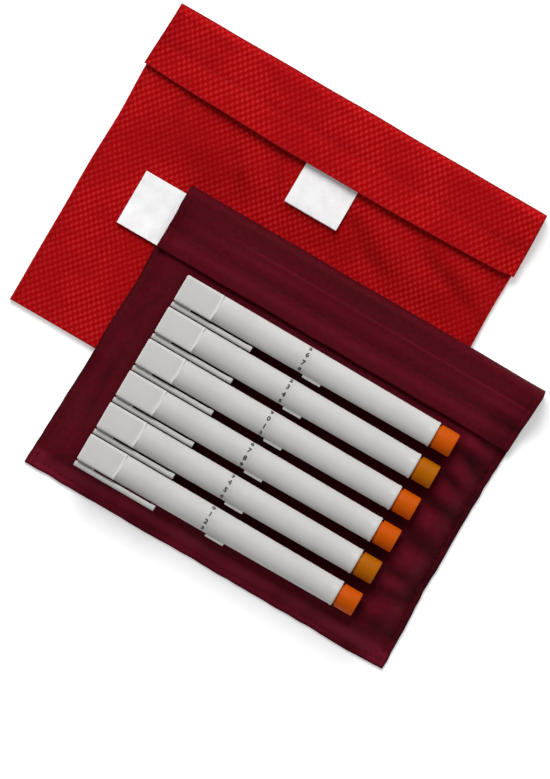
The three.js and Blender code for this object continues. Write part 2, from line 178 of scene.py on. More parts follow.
def crease(x, y, corner, start, end, width, depth):
    """A soft fold along a line: a valley with a ridge on its left, dying out at both ends. It is
    given in millimetres, from a corner of the cloth."""
    run = (np.array(end) - np.array(start)) * MM
    dx = x - corner[0] - start[0] * MM
    dy = y - corner[1] - start[1] * MM
    share = (dx * run[0] + dy * run[1]) / (run @ run)
    across = (dy * run[0] - dx * run[1]) / np.hypot(*run) / (width * MM)
    fade = np.sin(np.pi * np.clip(share, 0, 1)) ** BLUNT
    return depth * MM * fade * (0.7 * bell(across - 1.5, 1) - bell(across, 1))


def puff(x, y, corner, middle, long, wide, degrees, height):
    """A soft oval bulge, given in millimetres from a corner of the cloth."""
    turn = math.radians(degrees)
    dx = x - corner[0] - middle[0] * MM
    dy = y - corner[1] - middle[1] * MM
    along = (dx * math.cos(turn) + dy * math.sin(turn)) / (long * MM)
    across = (dy * math.cos(turn) - dx * math.sin(turn)) / (wide * MM)
    return height * MM * np.exp(-(along ** 4) - np.abs(across) ** 2.6)


def pucker(along, away, pitch, reach, depth, seed):
    """Little waves square to a seam, in millimetres. away is the distance from it in metres, and
    reach how far they run."""
    drift = wander(along, 4 * pitch, seed)
    uneven = 0.65 + 0.6 * wander(along, 3 * pitch, seed + 3)
    wave = np.sin(2 * np.pi * along / (pitch * MM) + 4 * drift)
    return depth * MM * uneven * wave * np.exp(-np.abs(away) / (reach * MM))


def seam_groove(away, ply):
    return -0.3 * ply * bell(away, 1.2 * ply)


def stitched_row(along, away, ply, proud, rise, puckers, groove=1.0):
    """A row's groove, the doubled cloth beyond it, which stands proud, and its puckers."""
    doubled = proud * MM * ease(-away / (rise * MM))
    return groove * seam_groove(away, ply) + doubled + pucker(along, away, *puckers)


# Meshes


def add_object(name, points, faces):
    mesh = bpy.data.meshes.new(name)
    mesh.from_pydata([tuple(p) for p in points], [], [tuple(f) for f in faces])
    mesh.validate()
    mesh.polygons.foreach_set("use_smooth", [True] * len(mesh.polygons))
    obj = bpy.data.objects.new(name, mesh)
    bpy.context.scene.collection.objects.link(obj)
    return obj


def keep_corners_sharp(obj, degrees=32):
    shape = bmesh.new()
    shape.from_mesh(obj.data)
    limit = math.radians(degrees)
    for edge in shape.edges:
        edge.smooth = len(edge.link_faces) == 2 and edge.calc_face_angle(0) < limit
    shape.to_mesh(obj.data)
    shape.free()
    return obj


def paint(obj, material):
    obj.data.materials.clear()
    obj.data.materials.append(material)


def settle(obj, material, body, slot, *nodes):
    """The piece gets its material, rides on a body and stands for CAD nodes. slot is not
    used."""
    paint(obj, material)
    if body:
        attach(obj, body)
    if nodes:
        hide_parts(*nodes)
    return obj


def from_bmesh(name, shape, smooth=True):
    obj = add_object(name, [], [])
    shape.to_mesh(obj.data)
    shape.free()
    obj.data.polygons.foreach_set("use_smooth", [smooth] * len(obj.data.polygons))
    return obj


def softened(heights, reach):
    """Heights on a grid, averaged over reach grid steps each way."""
    offsets = np.arange(-math.ceil(2 * reach), math.ceil(2 * reach) + 1)
    weights = bell(offsets, reach)
    weights /= weights.sum()
    pad = len(offsets) // 2
    for axis in (0, 1):
        padded = np.pad(heights, [(pad, pad) if a == axis else (0, 0) for a in (0, 1)], mode="edge")
        heights = sum(
            w * np.take(padded, range(k, k + heights.shape[axis]), axis=axis)
            for k, w in enumerate(weights)
        )
    return heights


RELIEF_STEP = 1.5 * MM
RELIEF_MARGIN = 1.6 * MM  # keeps the rays off a flap's flared ends
RELIEF_SOFTNESS = 2.2 * MM


def relief(node, face=1):
    """The height of a CAD panel's upper face, or of its under face where face is -1, as a
    function of x and y. It is softened, so that the panel's facets don't show."""
    cad = frame["nodes"][node]
    tree = BVHTree.FromPolygons(
        [v.co for v in cad.data.vertices], [p.vertices for p in cad.data.polygons]
    )
    low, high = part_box(node)
    xs = np.arange(low.x + RELIEF_MARGIN, high.x - RELIEF_MARGIN, RELIEF_STEP)
    ys = np.arange(low.y + MM / 10, high.y - MM / 10, RELIEF_STEP)
    heights = np.zeros((len(xs), len(ys)))
    for i, x in enumerate(xs):
        for j, y in enumerate(ys):
            hit = tree.ray_cast(Vector((x, y, face)), Vector((0, 0, -face)))[0]
            heights[i, j] = heights[i, j - 1] if hit is None else hit.z
    heights = softened(heights, RELIEF_SOFTNESS / RELIEF_STEP)

    def height(x, y):
        i = np.clip((x - xs[0]) / RELIEF_STEP, 0, len(xs) - 1.001)
        j = np.clip((y - ys[0]) / RELIEF_STEP, 0, len(ys) - 1.001)
        a, b = i.astype(int), j.astype(int)
        s, t = i - a, j - b
        near = heights[a, b] * (1 - s) + heights[a + 1, b] * s
        far = heights[a, b + 1] * (1 - s) + heights[a + 1, b + 1] * s
        return near * (1 - t) + far * t

    return height


# Cloth: a flat cut, laid over a surface and given a thickness

RIM_STEPS = (0, 0.12, 0.45)  # lines near a cut edge, in plies from it
RIM_SHARES = (0.3, 0.75, 0.97)  # how thick the cloth is at them
SQUARE_EDGE = 75  # in degrees: an edge this sharp is where one sheet joins the next


def lines(low, high, step, ply, rims=(True, True)):
    """Lines across a flat cut, and the share of its thickness that the cloth has at each."""
    inset = [ply if rim else 0 for rim in rims]
    count = max(2, round((high - low - sum(inset)) / step) + 1)
    places = list(np.linspace(low + inset[0], high - inset[1], count))
    shares = [1.0] * count
    if rims[0]:
        places = [low + ply * s for s in RIM_STEPS] + places
        shares = [*RIM_SHARES, *shares]
    if rims[1]:
        places += [high - ply * s for s in reversed(RIM_STEPS)]
        shares += reversed(RIM_SHARES)
    return np.array(places), np.array(shares)


def normals(surface, u, v):
    e = 0.25 * MM
    across = np.stack(surface(u + e, v), -1) - np.stack(surface(u - e, v), -1)
    along = np.stack(surface(u, v + e), -1) - np.stack(surface(u, v - e), -1)
    square = np.cross(across, along)
    return square / np.linalg.norm(square, axis=-1, keepdims=True)


FOLD_SHADE_REACH = 5.0  # in mesh steps: how far round a point the cloth counts as its surroundings
FOLD_SHADE_DEPTH = 0.6 * MM
CREST_HIGHLIGHT = 0.5  # how much weaker the painted highlight on a fold's crest is than the painted shade in its hollow


def fold_wear(heights):
    """Painted shade and light of folds, from the height of their cloth on a grid: -1 in a hollow,
    painted in shade, and above 0 on a crest, painted with a highlight."""
    share = np.tanh((heights - softened(heights, FOLD_SHADE_REACH)) / FOLD_SHADE_DEPTH)
    return np.where(share > 0, CREST_HIGHLIGHT * share, share)


def keep_raised(obj, share):
    # the attribute "raised" holds painted shade below 0 and painted light above it
    raised = obj.data.attributes.new("raised", "FLOAT", "POINT")
    raised.data.foreach_set("value", np.clip(share, -1, 1))


def cloth(name, across, along, surface, ply, wear=None):
    """A closed sheet of cloth. across and along are its lines, surface(u, v) its middle, and the
    attribute "cut" keeps where each point was on the flat cut, for the weave to follow. wear(u, v)
    gives the attribute "raised", which holds painted shade and light: -1 where the cloth is
    painted darkest, in shade, and 1 where it is painted palest, in light."""
    (us, u_shares), (vs, v_shares) = across, along
    u, v = np.meshgrid(us, vs, indexing="ij")
    middle = np.stack(surface(u, v), -1)
    half = normals(surface, u, v) * (ply / 2 * np.minimum.outer(u_shares, v_shares))[..., None]
    points = np.concatenate([(middle + half).reshape(-1, 3), (middle - half).reshape(-1, 3)])
    columns, rows = u.shape
    at = np.arange(columns * rows).reshape(columns, rows)
    under = at + columns * rows
    a, b, c, d = at[:-1, :-1], at[1:, :-1], at[1:, 1:], at[:-1, 1:]
    faces = np.stack([a, b, c, d], -1).reshape(-1, 4).tolist()
    faces += np.stack([under[:-1, :-1], under[:-1, 1:], under[1:, 1:], under[1:, :-1]], -1) \
        .reshape(-1, 4).tolist()
    border = [*at[:, 0], *at[-1, 1:], *at[-2::-1, -1], *at[0, -2:0:-1]]
    below = [*under[:, 0], *under[-1, 1:], *under[-2::-1, -1], *under[0, -2:0:-1]]
    for k in range(len(border)):
        n = (k + 1) % len(border)
        faces.append([border[n], border[k], below[k], below[n]])
    obj = add_object(name, points, faces)
    cut = obj.data.attributes.new("cut", "FLOAT_VECTOR", "POINT")
    flat = np.stack([u, v, 0 * u], -1).reshape(-1, 3)
    cut.data.foreach_set("vector", np.concatenate([flat, flat]).ravel())
    if wear:
        share = wear(u, v).ravel()
        keep_raised(obj, np.concatenate([share, share]))
    return keep_corners_sharp(obj, SQUARE_EDGE)


STITCH_RINGS = 5
STITCH_SIDES = 6
STITCH_SHIFT = 0.04  # how unevenly stitches are spaced
STITCH_LEAN = 0.05
STITCH_ARCH = (0.42, -0.12)  # height over the cloth: what the middle adds, and the ends, in threads
STITCH_BULK = (0.5, 0.18)  # radius, in the same way
STITCH_FLAT = 0.75  # how thick a thread is for its width


def stitches(name, surface, ply, seams, seed, finer):
    """Rows of thread stitches on the outside of a cloth, each seam from one point of its flat
    cut to another. A stitch is a short piece of thread whose ends go down into the cloth."""
    sizes = bpy.context.scene.case_cloth
    thread = sizes.thread * finer
    jitter = random.Random(seed)
    centres, radii = [], []
    for start, end in seams:
        run = np.array(end) - np.array(start)
        distance = float(np.hypot(*run))
        count = max(1, round(distance / (sizes.stitch + sizes.stitch_gap)))
        for k in range(count):
            middle = (k + 0.5) / count + jitter.uniform(-STITCH_SHIFT, STITCH_SHIFT) / count
            lean = jitter.uniform(-STITCH_LEAN, STITCH_LEAN)
            for ring in range(STITCH_RINGS):
                t = ring / (STITCH_RINGS - 1) - 0.5
                side = np.array([-run[1], run[0]]) / distance * lean * t * sizes.stitch
                at = np.array(start) + run * (middle + t * sizes.stitch / distance) + side
                dip = 1 - (2 * t) ** 2
                centres.append((*at, thread * (STITCH_ARCH[0] * dip + STITCH_ARCH[1])))
                radii.append(thread * (STITCH_BULK[0] * dip + STITCH_BULK[1]))
    centres = np.array(centres)
    u, v, lift = centres.T
    out = normals(surface, u, v)
    points = np.stack(surface(u, v), -1) + out * (ply / 2 + lift)[:, None]
    count = len(points) // STITCH_RINGS
    first = points.reshape(count, STITCH_RINGS, 3)
    heading = first[:, -1] - first[:, 0]
    heading /= np.linalg.norm(heading, axis=-1, keepdims=True)
    heading = np.repeat(heading, STITCH_RINGS, axis=0)
    side = np.cross(out, heading)
    angles = np.arange(STITCH_SIDES) / STITCH_SIDES * 2 * np.pi
    rings = (
        points[:, None]
        + np.array(radii)[:, None, None]
        * (side[:, None] * np.cos(angles)[None, :, None]
           + out[:, None] * STITCH_FLAT * np.sin(angles)[None, :, None])
    )
    faces = []
    for k in range(count):
        base = k * STITCH_RINGS * STITCH_SIDES
        for r in range(STITCH_RINGS - 1):
            for s in range(STITCH_SIDES):
                n = (s + 1) % STITCH_SIDES
                low, high = base + r * STITCH_SIDES, base + (r + 1) * STITCH_SIDES
                faces.append([low + s, high + s, high + n, low + n])
        last = base + (STITCH_RINGS - 1) * STITCH_SIDES
        faces.append([base + s for s in range(STITCH_SIDES)])
        faces.append([last + s for s in reversed(range(STITCH_SIDES))])
    return add_object(name, rings.reshape(-1, 3), faces)


# Solid pieces made along X


def squircle(x, half_width, half_thick, steps, power=2.0):
    """A ring of points square to X. A power of 2 is round, and a higher one squares it off."""
    angles = np.arange(steps) / steps * 2 * np.pi
    c, s = np.cos(angles), np.sin(angles)
    y = half_width * np.sign(c) * np.abs(c) ** (2 / power)
    z = half_thick * np.sign(s) * np.abs(s) ** (2 / power)
    return np.stack([np.full(steps, float(x)), y, z], -1)


def loft(name, rings, closed=False):
    """A skin through rings of points. closed joins the last ring to the first, as in a tube."""
    steps = len(rings[0])
    faces = []
    pairs = [(r, r + 1) for r in range(len(rings) - 1)] + ([(len(rings) - 1, 0)] if closed else [])
    for a, b in pairs:
        for k in range(steps):
            n = (k + 1) % steps
            faces.append([a * steps + k, a * steps + n, b * steps + n, b * steps + k])
    if not closed:
        last = (len(rings) - 1) * steps
        faces += [list(reversed(range(steps))), [last + k for k in range(steps)]]
    obj = add_object(name, np.concatenate(rings), faces)
    shape = bmesh.new()
    shape.from_mesh(obj.data)
    bmesh.ops.recalc_face_normals(shape, faces=shape.faces)
    shape.to_mesh(obj.data)
    shape.free()
    return keep_corners_sharp(obj)


def turned(name, profile, closed=False):
    """A piece turned about X from (x, radius) points in millimetres."""
    steps = bpy.context.scene.case_pens.round_steps
    rings = [squircle(x * MM, r * MM, r * MM, steps) for x, r in profile]
    return loft(name, rings, closed)


def rounded(x, radius, reach, way, steps):
    """The (x, radius) points of a rounded outer corner. way is -1 at a piece's start, where the
    curve runs out from the end face, and 1 at its end, where it runs in to it."""
    turn = [math.pi / 2 * k / steps for k in range(steps + 1)]
    arc = [(x - way * reach * (1 - math.sin(a)), radius - reach * (1 - math.cos(a))) for a in turn]
    return arc if way == 1 else arc[::-1]


def bevelled_outline(name, outline, low, high, bevel):
    """A solid cut from a flat outline of (x, y) points, between two heights, with soft edges."""
    shape = bmesh.new()
    face = shape.faces.new([shape.verts.new((x * MM, y * MM, low * MM)) for x, y in outline])
    grown = bmesh.ops.extrude_face_region(shape, geom=[face])["geom"]
    top = [g for g in grown if isinstance(g, bmesh.types.BMVert)]
    bmesh.ops.translate(shape, verts=top, vec=(0, 0, (high - low) * MM))
    bmesh.ops.recalc_face_normals(shape, faces=shape.faces)
    bmesh.ops.bevel(
        shape, geom=shape.edges[:], offset=bevel * MM, segments=3, profile=0.5, affect="EDGES"
    )
    return keep_corners_sharp(from_bmesh(name, shape), 50)


def copies(make, piece, body, finish, *nodes):
    """One copy of a pen's piece for each pen, moved to where that pen lies. finish(number) gives
    its slot and its material."""
    first = make(f"pen_1_{piece}")
    for number in PENS:
        obj = first
        if number > 1:
            obj = bpy.data.objects.new(f"pen_{number}_{piece}", first.data.copy())
            bpy.context.scene.collection.objects.link(obj)
        obj.location = pen_start(number)
        slot, material = finish(number)
        settle(obj, material, body.format(number), slot, *[n.format(number) for n in nodes])


def plain_plastic(number):
    return "pen_plastic", moulded("body", 0.4)


def pen_start(number):
    """The middle of the cap's closed end, on the pen's axis."""
    low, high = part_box(f"pen_{number}_button")
    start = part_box(f"pen_{number}_cap")[0].x
    return Vector((start, (low.y + high.y) / 2, (low.z + high.z) / 2))


def span(piece):
    """Where a pen's piece starts and ends along the pen, in millimetres from the cap's end."""
    start = pen_start(1).x
    low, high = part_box(f"pen_1_{piece}")
    return (low.x - start) / MM, (high.x - start) / MM


# Materials

YARN_LINES = ((-273.0, 231.0, 0.0), (322.0, 230.0, 0.0))  # lines per metre of the raised yarns
YARN_ROWS = (0.27, 0.2, 0.04)  # how much each set of lines, and their crossing, lifts a yarn
YARN_DRIFT = 0.6 * MM  # how far the yarns stray from their lines
STRETCH = (0.25, 1.0, 1.0)  # draws streaks out along the cloth or the pen
DEEP_RED = (0.24, 0.001, 0.003, 1.0)
# the shaded red is the painted shade in the red cloth's fold hollows; the deep maroon darkens the cotton at
# random and is the painted shade in its fold hollows; the pale maroon is the painted highlight on its fold
# crests
SHADED_RED = (0.08, 0.0, 0.001, 1.0)
DEEP_MAROON = (0.008, 0.0, 0.001, 1.0)
HIGHLIGHT_MAROON = linear(120, 22, 44)
LABEL_GRIME = (0.66, 0.64, 0.62, 1.0)
RED_THREAD = 0.36 * MM  # the fine threads under the red weave's yarns
LABEL_THREAD = 0.25 * MM
LABEL_RIB = 0.5 * MM
THREAD_TWIST = 0.35 * MM


class Shader:
    """Adds nodes to a tree."""

    def __init__(self, tree):
        self.tree = tree

    def put(self, value, socket):
        """Link a socket to the one that its value comes from, or set it to a plain value."""
        if isinstance(value, bpy.types.NodeSocket):
            self.tree.links.new(value, socket)
        else:
            socket.default_value = value

    def add(self, kind, *inputs, into=None, **settings):
        node = self.tree.nodes.new("ShaderNode" + kind)
        for key, value in settings.items():
            setattr(node, key, value)
        for key, value in [*enumerate(inputs), *(into or {}).items()]:
            self.put(value, node.inputs[key])
        return node

    def math(self, operation, *inputs):
        return self.add("Math", *inputs, operation=operation).outputs[0]

    def vector(self, operation, first, second):
        """SCALE takes a vector and a number, and the others take two vectors."""
        into = {0: first, 3 if operation == "SCALE" else 1: second}
        node = self.add("VectorMath", operation=operation, into=into)
        return node.outputs["Value" if operation == "DOT_PRODUCT" else "Vector"]

    def ramp(self, value, low, high, to_low=0.0, to_high=1.0):
        into = {"From Min": low, "From Max": high, "To Min": to_low, "To Max": to_high}
        return self.add("MapRange", value, into=into, interpolation_type="SMOOTHSTEP").outputs["Result"]

    def mix(self, share, first, second):
        return self.add("Mix", into={0: share, 6: first, 7: second}, data_type="RGBA").outputs[2]

    def noise(self, place, scale, detail=2.0, roughness=0.5, output="Fac"):
        into = {"Vector": place, "Scale": scale, "Detail": detail, "Roughness": roughness}
        return self.add("TexNoise", into=into).outputs[output]

    def bump(self, height, distance, strength=1.0):
        into = {"Height": height, "Distance": distance, "Strength": strength}
        return self.add("Bump", into=into).outputs["Normal"]

    def kept(self, name, output="Fac"):
        """A value that the mesh keeps at each of its points."""
        return self.add("Attribute", attribute_name=name).outputs[output]

    def cut(self):
        """Where a point lay on the cloth's flat cut."""
        return self.kept("cut", "Vector")

    def place(self):
        return self.add("TexCoord").outputs["Object"]

    def use(self, effect_group, **inputs):
        into = {key.capitalize(): value for key, value in inputs.items()}
        return self.add("Group", into=into, node_tree=effect_group).outputs


def effect(name, inputs, outputs, build):
    """A shader node group, built once. inputs gives each input's type and default."""
    if name in bpy.data.node_groups:
        return bpy.data.node_groups[name]
    tree = bpy.data.node_groups.new(name, "ShaderNodeTree")
    for key, (kind, default) in inputs.items():
        socket = tree.interface.new_socket(key, in_out="INPUT", socket_type="NodeSocket" + kind)
        if default is not None:
            socket.default_value = default
    for key in outputs:
        tree.interface.new_socket(key, in_out="OUTPUT", socket_type="NodeSocketFloat")
    start = tree.nodes.new("NodeGroupInput")
    end = tree.nodes.new("NodeGroupOutput")
    for key, value in build(Shader(tree), start.outputs).items():
        tree.links.new(value, end.inputs[key])
    return tree


def staggered_yarns():
    """Short yarns in slanting rows. First and Second give two sets of lines, in lines per metre,
    and a yarn stands up wherever a line of each set crosses."""

    def build(s, start):
        drift = s.noise(start["Place"], 160.0, 1.0, output="Color")
        place = s.vector("ADD", start["Place"], s.vector("SCALE", drift, YARN_DRIFT))
        first, second = [
            s.math("MULTIPLY", s.vector("DOT_PRODUCT", place, start[key]), 2 * math.pi)
            for key in ("First", "Second")
        ]
        height = 0.5
        for lift, turn in zip(YARN_ROWS, (first, second, s.math("SUBTRACT", first, second))):
            height = s.math("ADD", s.math("MULTIPLY", s.math("COSINE", turn), lift), height)
        return {"Height": height}

    return effect(
        "Staggered yarns",
        {"Place": ("Vector", None), "First": ("Vector", None), "Second": ("Vector", None)},
        ["Height"], build,
    )


def plain_threads():
    """Threads that cross over and under each other."""

    def build(s, start):
        parts = s.add("SeparateXYZ", start["Place"])
        turns = s.math("DIVIDE", math.pi, start["Thread"])
        x = s.math("MULTIPLY", parts.outputs[0], turns)
        y = s.math("MULTIPLY", parts.outputs[1], turns)
        over = s.math("MULTIPLY", s.math("SINE", x), s.math("SINE", y))
        slub = s.noise(start["Place"], 900.0)
        return {"Height": s.math("ADD", s.math("MULTIPLY", over, over), slub)}

    return effect(
        "Plain threads", {"Place": ("Vector", None), "Thread": ("Float", 0.4 * MM)}, ["Height"], build
    )


def mottling():
    """Soft uneven patches, from 0 to 1."""

    def build(s, start):
        broad = s.noise(start["Place"], start["Scale"], 3.0)
        fine = s.noise(start["Place"], s.math("MULTIPLY", start["Scale"], 7.0))
        both = s.math("ADD", broad, s.math("MULTIPLY", fine, 0.35))
        return {"Patches": s.ramp(both, 0.48, 0.88)}

    return effect(
        "Mottling", {"Place": ("Vector", None), "Scale": ("Float", 40.0)}, ["Patches"], build
    )


def handling():
    """Faint scuffs and rubbed patches that come from use, and the fine grain of the mould."""

    def build(s, start):
        stretched = s.vector("MULTIPLY", start["Place"], STRETCH)
        scuffs = s.ramp(s.noise(stretched, 900.0, 4.0, 0.6), 0.58, 0.8)
        rubbed = s.ramp(s.noise(start["Place"], 45.0), 0.35, 0.7)
        grain = s.noise(start["Place"], 2600.0)
        return {"Scuffs": s.math("MULTIPLY", scuffs, rubbed), "Rubbed": rubbed, "Grain": grain}

    return effect("Handling", {"Place": ("Vector", None)}, ["Scuffs", "Rubbed", "Grain"], build)


def scaled(tint, share, lift=0.0):
    """A colour made deeper or paler."""
    return (*(min(1.0, share * value + lift) for value in tint[:3]), 1.0)


def new_material(name, roughness, metallic=0.0, **sockets):
    """A material, its node maker and its Principled shader, whose plain values sit on its sockets."""
    material = bpy.data.materials.new(name)
    material.use_nodes = True
    surface = material.node_tree.nodes["Principled BSDF"]
    for key, value in {"Roughness": roughness, "Metallic": metallic, **sockets}.items():
        surface.inputs[key.replace("_", " ")].default_value = value
    return material, Shader(material.node_tree), surface


def feed(shader, surface, **inputs):
    for key, value in inputs.items():
        shader.tree.links.new(value, surface.inputs[key.replace("_", " ")])


def known(build):
    """A material is made the first time that it is asked for."""
    made = {}

    def get(*settings):
        if settings not in made:
            made[settings] = build(*settings)
        return made[settings]

    return get


def worn(shader, base, hollows, crests):
    """The cloth's colour with painted shade where the cloth dips and a painted highlight where it
    stands up, as the attribute "raised" gives. hollows and crests each give how much it changes
    at most and the colour that it goes to."""
    raised = shader.kept("raised")
    low = shader.ramp(raised, -1.0, 0.0, hollows[0], 0.0)
    high = shader.ramp(raised, 0.0, 1.0, 0.0, crests[0])
    return shader.mix(high, shader.mix(low, base, hollows[1]), crests[1])


@known
def red_weave():
    sizes = bpy.context.scene.case_cloth
    material, s, surface = new_material("Red weave", 0.85, Specular_IOR_Level=0.06)
    place = s.cut()
    yarns = s.use(staggered_yarns(), place=place, first=YARN_LINES[0], second=YARN_LINES[1])["Height"]
    threads = s.use(plain_threads(), place=place, thread=RED_THREAD)["Height"]
    patches = s.use(mottling(), place=place, scale=28.0)["Patches"]
    # the raised yarns go paler, partly in their own colour and partly in their painted sheen
    raised = s.math("MULTIPLY", s.ramp(yarns, 0.3, 1.0), s.ramp(patches, 0.0, 1.0, 1.1, 0.75))
    base = s.mix(raised, sizes.red, sizes.red_raised)
    patchy = s.mix(s.ramp(patches, 0.0, 1.0, 0.0, 0.3), base, DEEP_RED)
    # painted shade in the folds' hollows and a painted highlight on their crests
    shade = worn(s, patchy, (0.4, SHADED_RED), (0.3, sizes.red_raised))
    height = s.math("ADD", yarns, s.math("MULTIPLY", threads, 0.12))
    feed(s, surface, Base_Color=shade, Normal=s.bump(height, 0.25 * MM, 0.2))
    return material


@known
def maroon_cotton(inside=False):
    sizes = bpy.context.scene.case_cloth
    name = "Lining cotton" if inside else "Maroon cotton"
    material, s, surface = new_material(name, 0.8, Specular_IOR_Level=0.08)
    place = s.cut()
    streaks = s.vector("MULTIPLY", place, STRETCH)
    patches = s.use(mottling(), place=streaks, scale=55.0)["Patches"]
    threads = s.use(plain_threads(), place=place, thread=sizes.cotton_thread)["Height"]
    tints = (sizes.lining, sizes.maroon) if inside else (sizes.maroon, sizes.maroon_light)
    base = s.mix(patches, *tints)
    threaded = s.mix(s.ramp(threads, 0.2, 1.4, 0.0, 0.3), base, sizes.maroon_light)
    crumples = s.ramp(s.noise(place, 420.0, 3.0, 0.6), 0.35, 0.65)
    crumpled = s.mix(s.math("MULTIPLY", crumples, 0.28), threaded, DEEP_MAROON)
    # painted shade in the folds' hollows and a painted highlight on their crests
    shade = worn(s, crumpled, (0.75, DEEP_MAROON), (0.85, HIGHLIGHT_MAROON))
    roughness = s.ramp(patches, 0.0, 1.0, 0.66, 0.82)
    feed(s, surface, Base_Color=shade, Roughness=roughness, Normal=s.bump(threads, 0.1 * MM, 0.7))
    return material


@known
def label_satin():
    material, s, surface = new_material("Label satin", 0.5, Specular_IOR_Level=0.2)
    place = s.cut()
    along = s.add("SeparateXYZ", place).outputs[1]
    ribs = s.math("SINE", s.math("MULTIPLY", along, 2 * math.pi / LABEL_RIB))
    threads = s.use(plain_threads(), place=place, thread=LABEL_THREAD)["Height"]
    height = s.math("ADD", s.math("MULTIPLY", ribs, 0.3), threads)
    grime = s.use(mottling(), place=place, scale=120.0)["Patches"]
    base = s.mix(s.math("MULTIPLY", grime, 0.3), bpy.context.scene.case_cloth.label, LABEL_GRIME)
    feed(s, surface, Base_Color=base, Normal=s.bump(height, 0.08 * MM, 0.5))
    return material


@known
def sewing_thread(tone):
    """Twisted thread. tone is the name of the cloth colour that it matches."""
    base = getattr(bpy.context.scene.case_cloth, tone)
    material, s, surface = new_material(f"Thread {tone}", 0.7, Specular_IOR_Level=0.15)
    x, y, z = s.add("SeparateXYZ", s.place()).outputs
    diagonal = s.math("ADD", s.math("ADD", x, y), z)
    twist = s.math("SINE", s.math("MULTIPLY", diagonal, 2 * math.pi / THREAD_TWIST))
    mixed = s.mix(s.ramp(twist, -1.0, 1.0), scaled(base, 0.7), base)
    feed(s, surface, Base_Color=mixed, Normal=s.bump(twist, 0.05 * MM))
    return material


@known
def strip_pile(kind):
    """Nylon of the two closing strips."""
    material, s, surface = new_material(f"Nylon {kind}", 0.6, Specular_IOR_Level=0.2)
    fuzz = s.noise(s.place(), 2400.0, 4.0, 0.7)
    shade = s.mix(s.ramp(fuzz, 0.35, 0.7), (0.16, 0.004, 0.008, 1), (0.34, 0.01, 0.018, 1))
    feed(s, surface, Base_Color=shade, Normal=s.bump(fuzz, 0.2 * MM))
    return material


@known
def cooling_gel():
    """Soaked granules in their pad: milky, glossy and lumpy."""
    material, s, surface = new_material("Cooling gel", 0.25, Coat_Weight=0.4)
    grains = s.add("TexVoronoi", into={"Vector": s.place(), "Scale": 520.0})
    lumps = s.ramp(grains.outputs["Distance"], 0.0, 0.9, 1.0, 0.0)
    shade = s.mix(lumps, (0.42, 0.5, 0.56, 1), (0.72, 0.78, 0.82, 1))
    feed(s, surface, Base_Color=shade, Normal=s.bump(lumps, 0.4 * MM))
    return material


@known
def moulded(name, roughness, shine=0.25, flat=0.7):
    """Satin moulded plastic in one of the pens' colours. flat evens out how its sides shade."""
    base = getattr(bpy.context.scene.case_pens, name)
    material, s, surface = new_material(
        f"Moulded {name}", roughness, Specular_IOR_Level=shine, Diffuse_Roughness=flat
    )
    wear = s.use(handling(), place=s.place())
    rubbed = s.mix(wear["Rubbed"], base, scaled(base, 0.93))
    scuffed = s.mix(wear["Scuffs"], rubbed, scaled(base, 0.93, 0.045))
    # lighter where the attribute "raised" is set: a painted highlight along the caps' ramp and end edge
    shade = s.mix(s.kept("raised"), scuffed, scaled(base, 1.12))
    rough = s.math("ADD", s.ramp(wear["Rubbed"], 0.0, 1.0, roughness - 0.04, roughness + 0.05),
                   s.math("MULTIPLY", wear["Scuffs"], 0.12))
    grain = s.bump(wear["Grain"], 0.015 * MM, 0.6)
    feed(s, surface, Base_Color=shade, Roughness=rough, Normal=grain)
    return material


@known
def printed_ink():
    base = bpy.context.scene.case_pens.ink
    material, s, surface = new_material("Printed ink", 0.55)
    patchy = s.ramp(s.noise(s.place(), 3000.0, 3.0), 0.3, 0.7)
    feed(s, surface, Base_Color=s.mix(patchy, base, scaled(base, 0.6)))
    return material


@known
def clear_plastic():
    material, s, surface = new_material("Clear plastic", 0.12, IOR=1.49, Transmission_Weight=0.85)
    wear = s.use(handling(), place=s.place())
    tint = s.mix(wear["Rubbed"], (0.86, 0.9, 0.92, 1), (0.78, 0.83, 0.86, 1))
    feed(s, surface, Base_Color=tint, Roughness=s.ramp(wear["Scuffs"], 0.0, 1.0, 0.08, 0.3))
    return material


@known
def cartridge_glass():
    material, s, surface = new_material("Cartridge glass", 0.03, IOR=1.47, Transmission_Weight=1.0)
    streaks = s.ramp(s.noise(s.place(), 60.0), 0.3, 0.8)
    feed(s, surface, Base_Color=s.mix(streaks, (0.95, 0.98, 0.98, 1), (0.9, 0.95, 0.95, 1)))
    return material


@known
def dark_rubber():
    material, s, surface = new_material("Dark rubber", 0.7)
    bloom = s.ramp(s.noise(s.place(), 400.0, 4.0), 0.35, 0.75)
    shade = s.mix(bloom, (0.05, 0.053, 0.058, 1), (0.09, 0.095, 0.1, 1))
    feed(s, surface, Base_Color=shade, Normal=s.bump(bloom, 0.03 * MM))
    return material


@known
def bare_aluminium():
    material, s, surface = new_material("Bare aluminium", 0.3, 1.0)
    brushed = s.noise(s.vector("MULTIPLY", s.place(), (4.0, 1.0, 1.0)), 700.0, 4.0, 0.7)
    shade = s.mix(brushed, (0.72, 0.73, 0.75, 1), (0.86, 0.87, 0.88, 1))
    feed(s, surface, Base_Color=shade, Roughness=s.ramp(brushed, 0.2, 0.8, 0.24, 0.42))
    return material


# Outer pouch

OUTER_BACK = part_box("outer_back_panel")
OUTER_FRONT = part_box("outer_front_panel")
OUTER_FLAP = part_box("outer_flap")
OUTER_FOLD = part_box("outer_fold")
OUTER_PLY = OUTER_BACK[1].z
OUTER_LEFT, OUTER_RIGHT = OUTER_BACK[0].x, OUTER_BACK[1].x
OUTER_SEAM = 4 * MM  # from the cloth's edge in to the stitches
OUTER_SIDES = (OUTER_LEFT + OUTER_SEAM, OUTER_RIGHT - OUTER_SEAM)
OUTER_TURN = OUTER_FOLD[0].y  # where the cloth starts to turn over
OUTER_MIDDLE = (OUTER_LEFT + OUTER_RIGHT) / 2
HEM_STITCH = 13.8 * MM  # from the outer flap's free edge up to its stitches
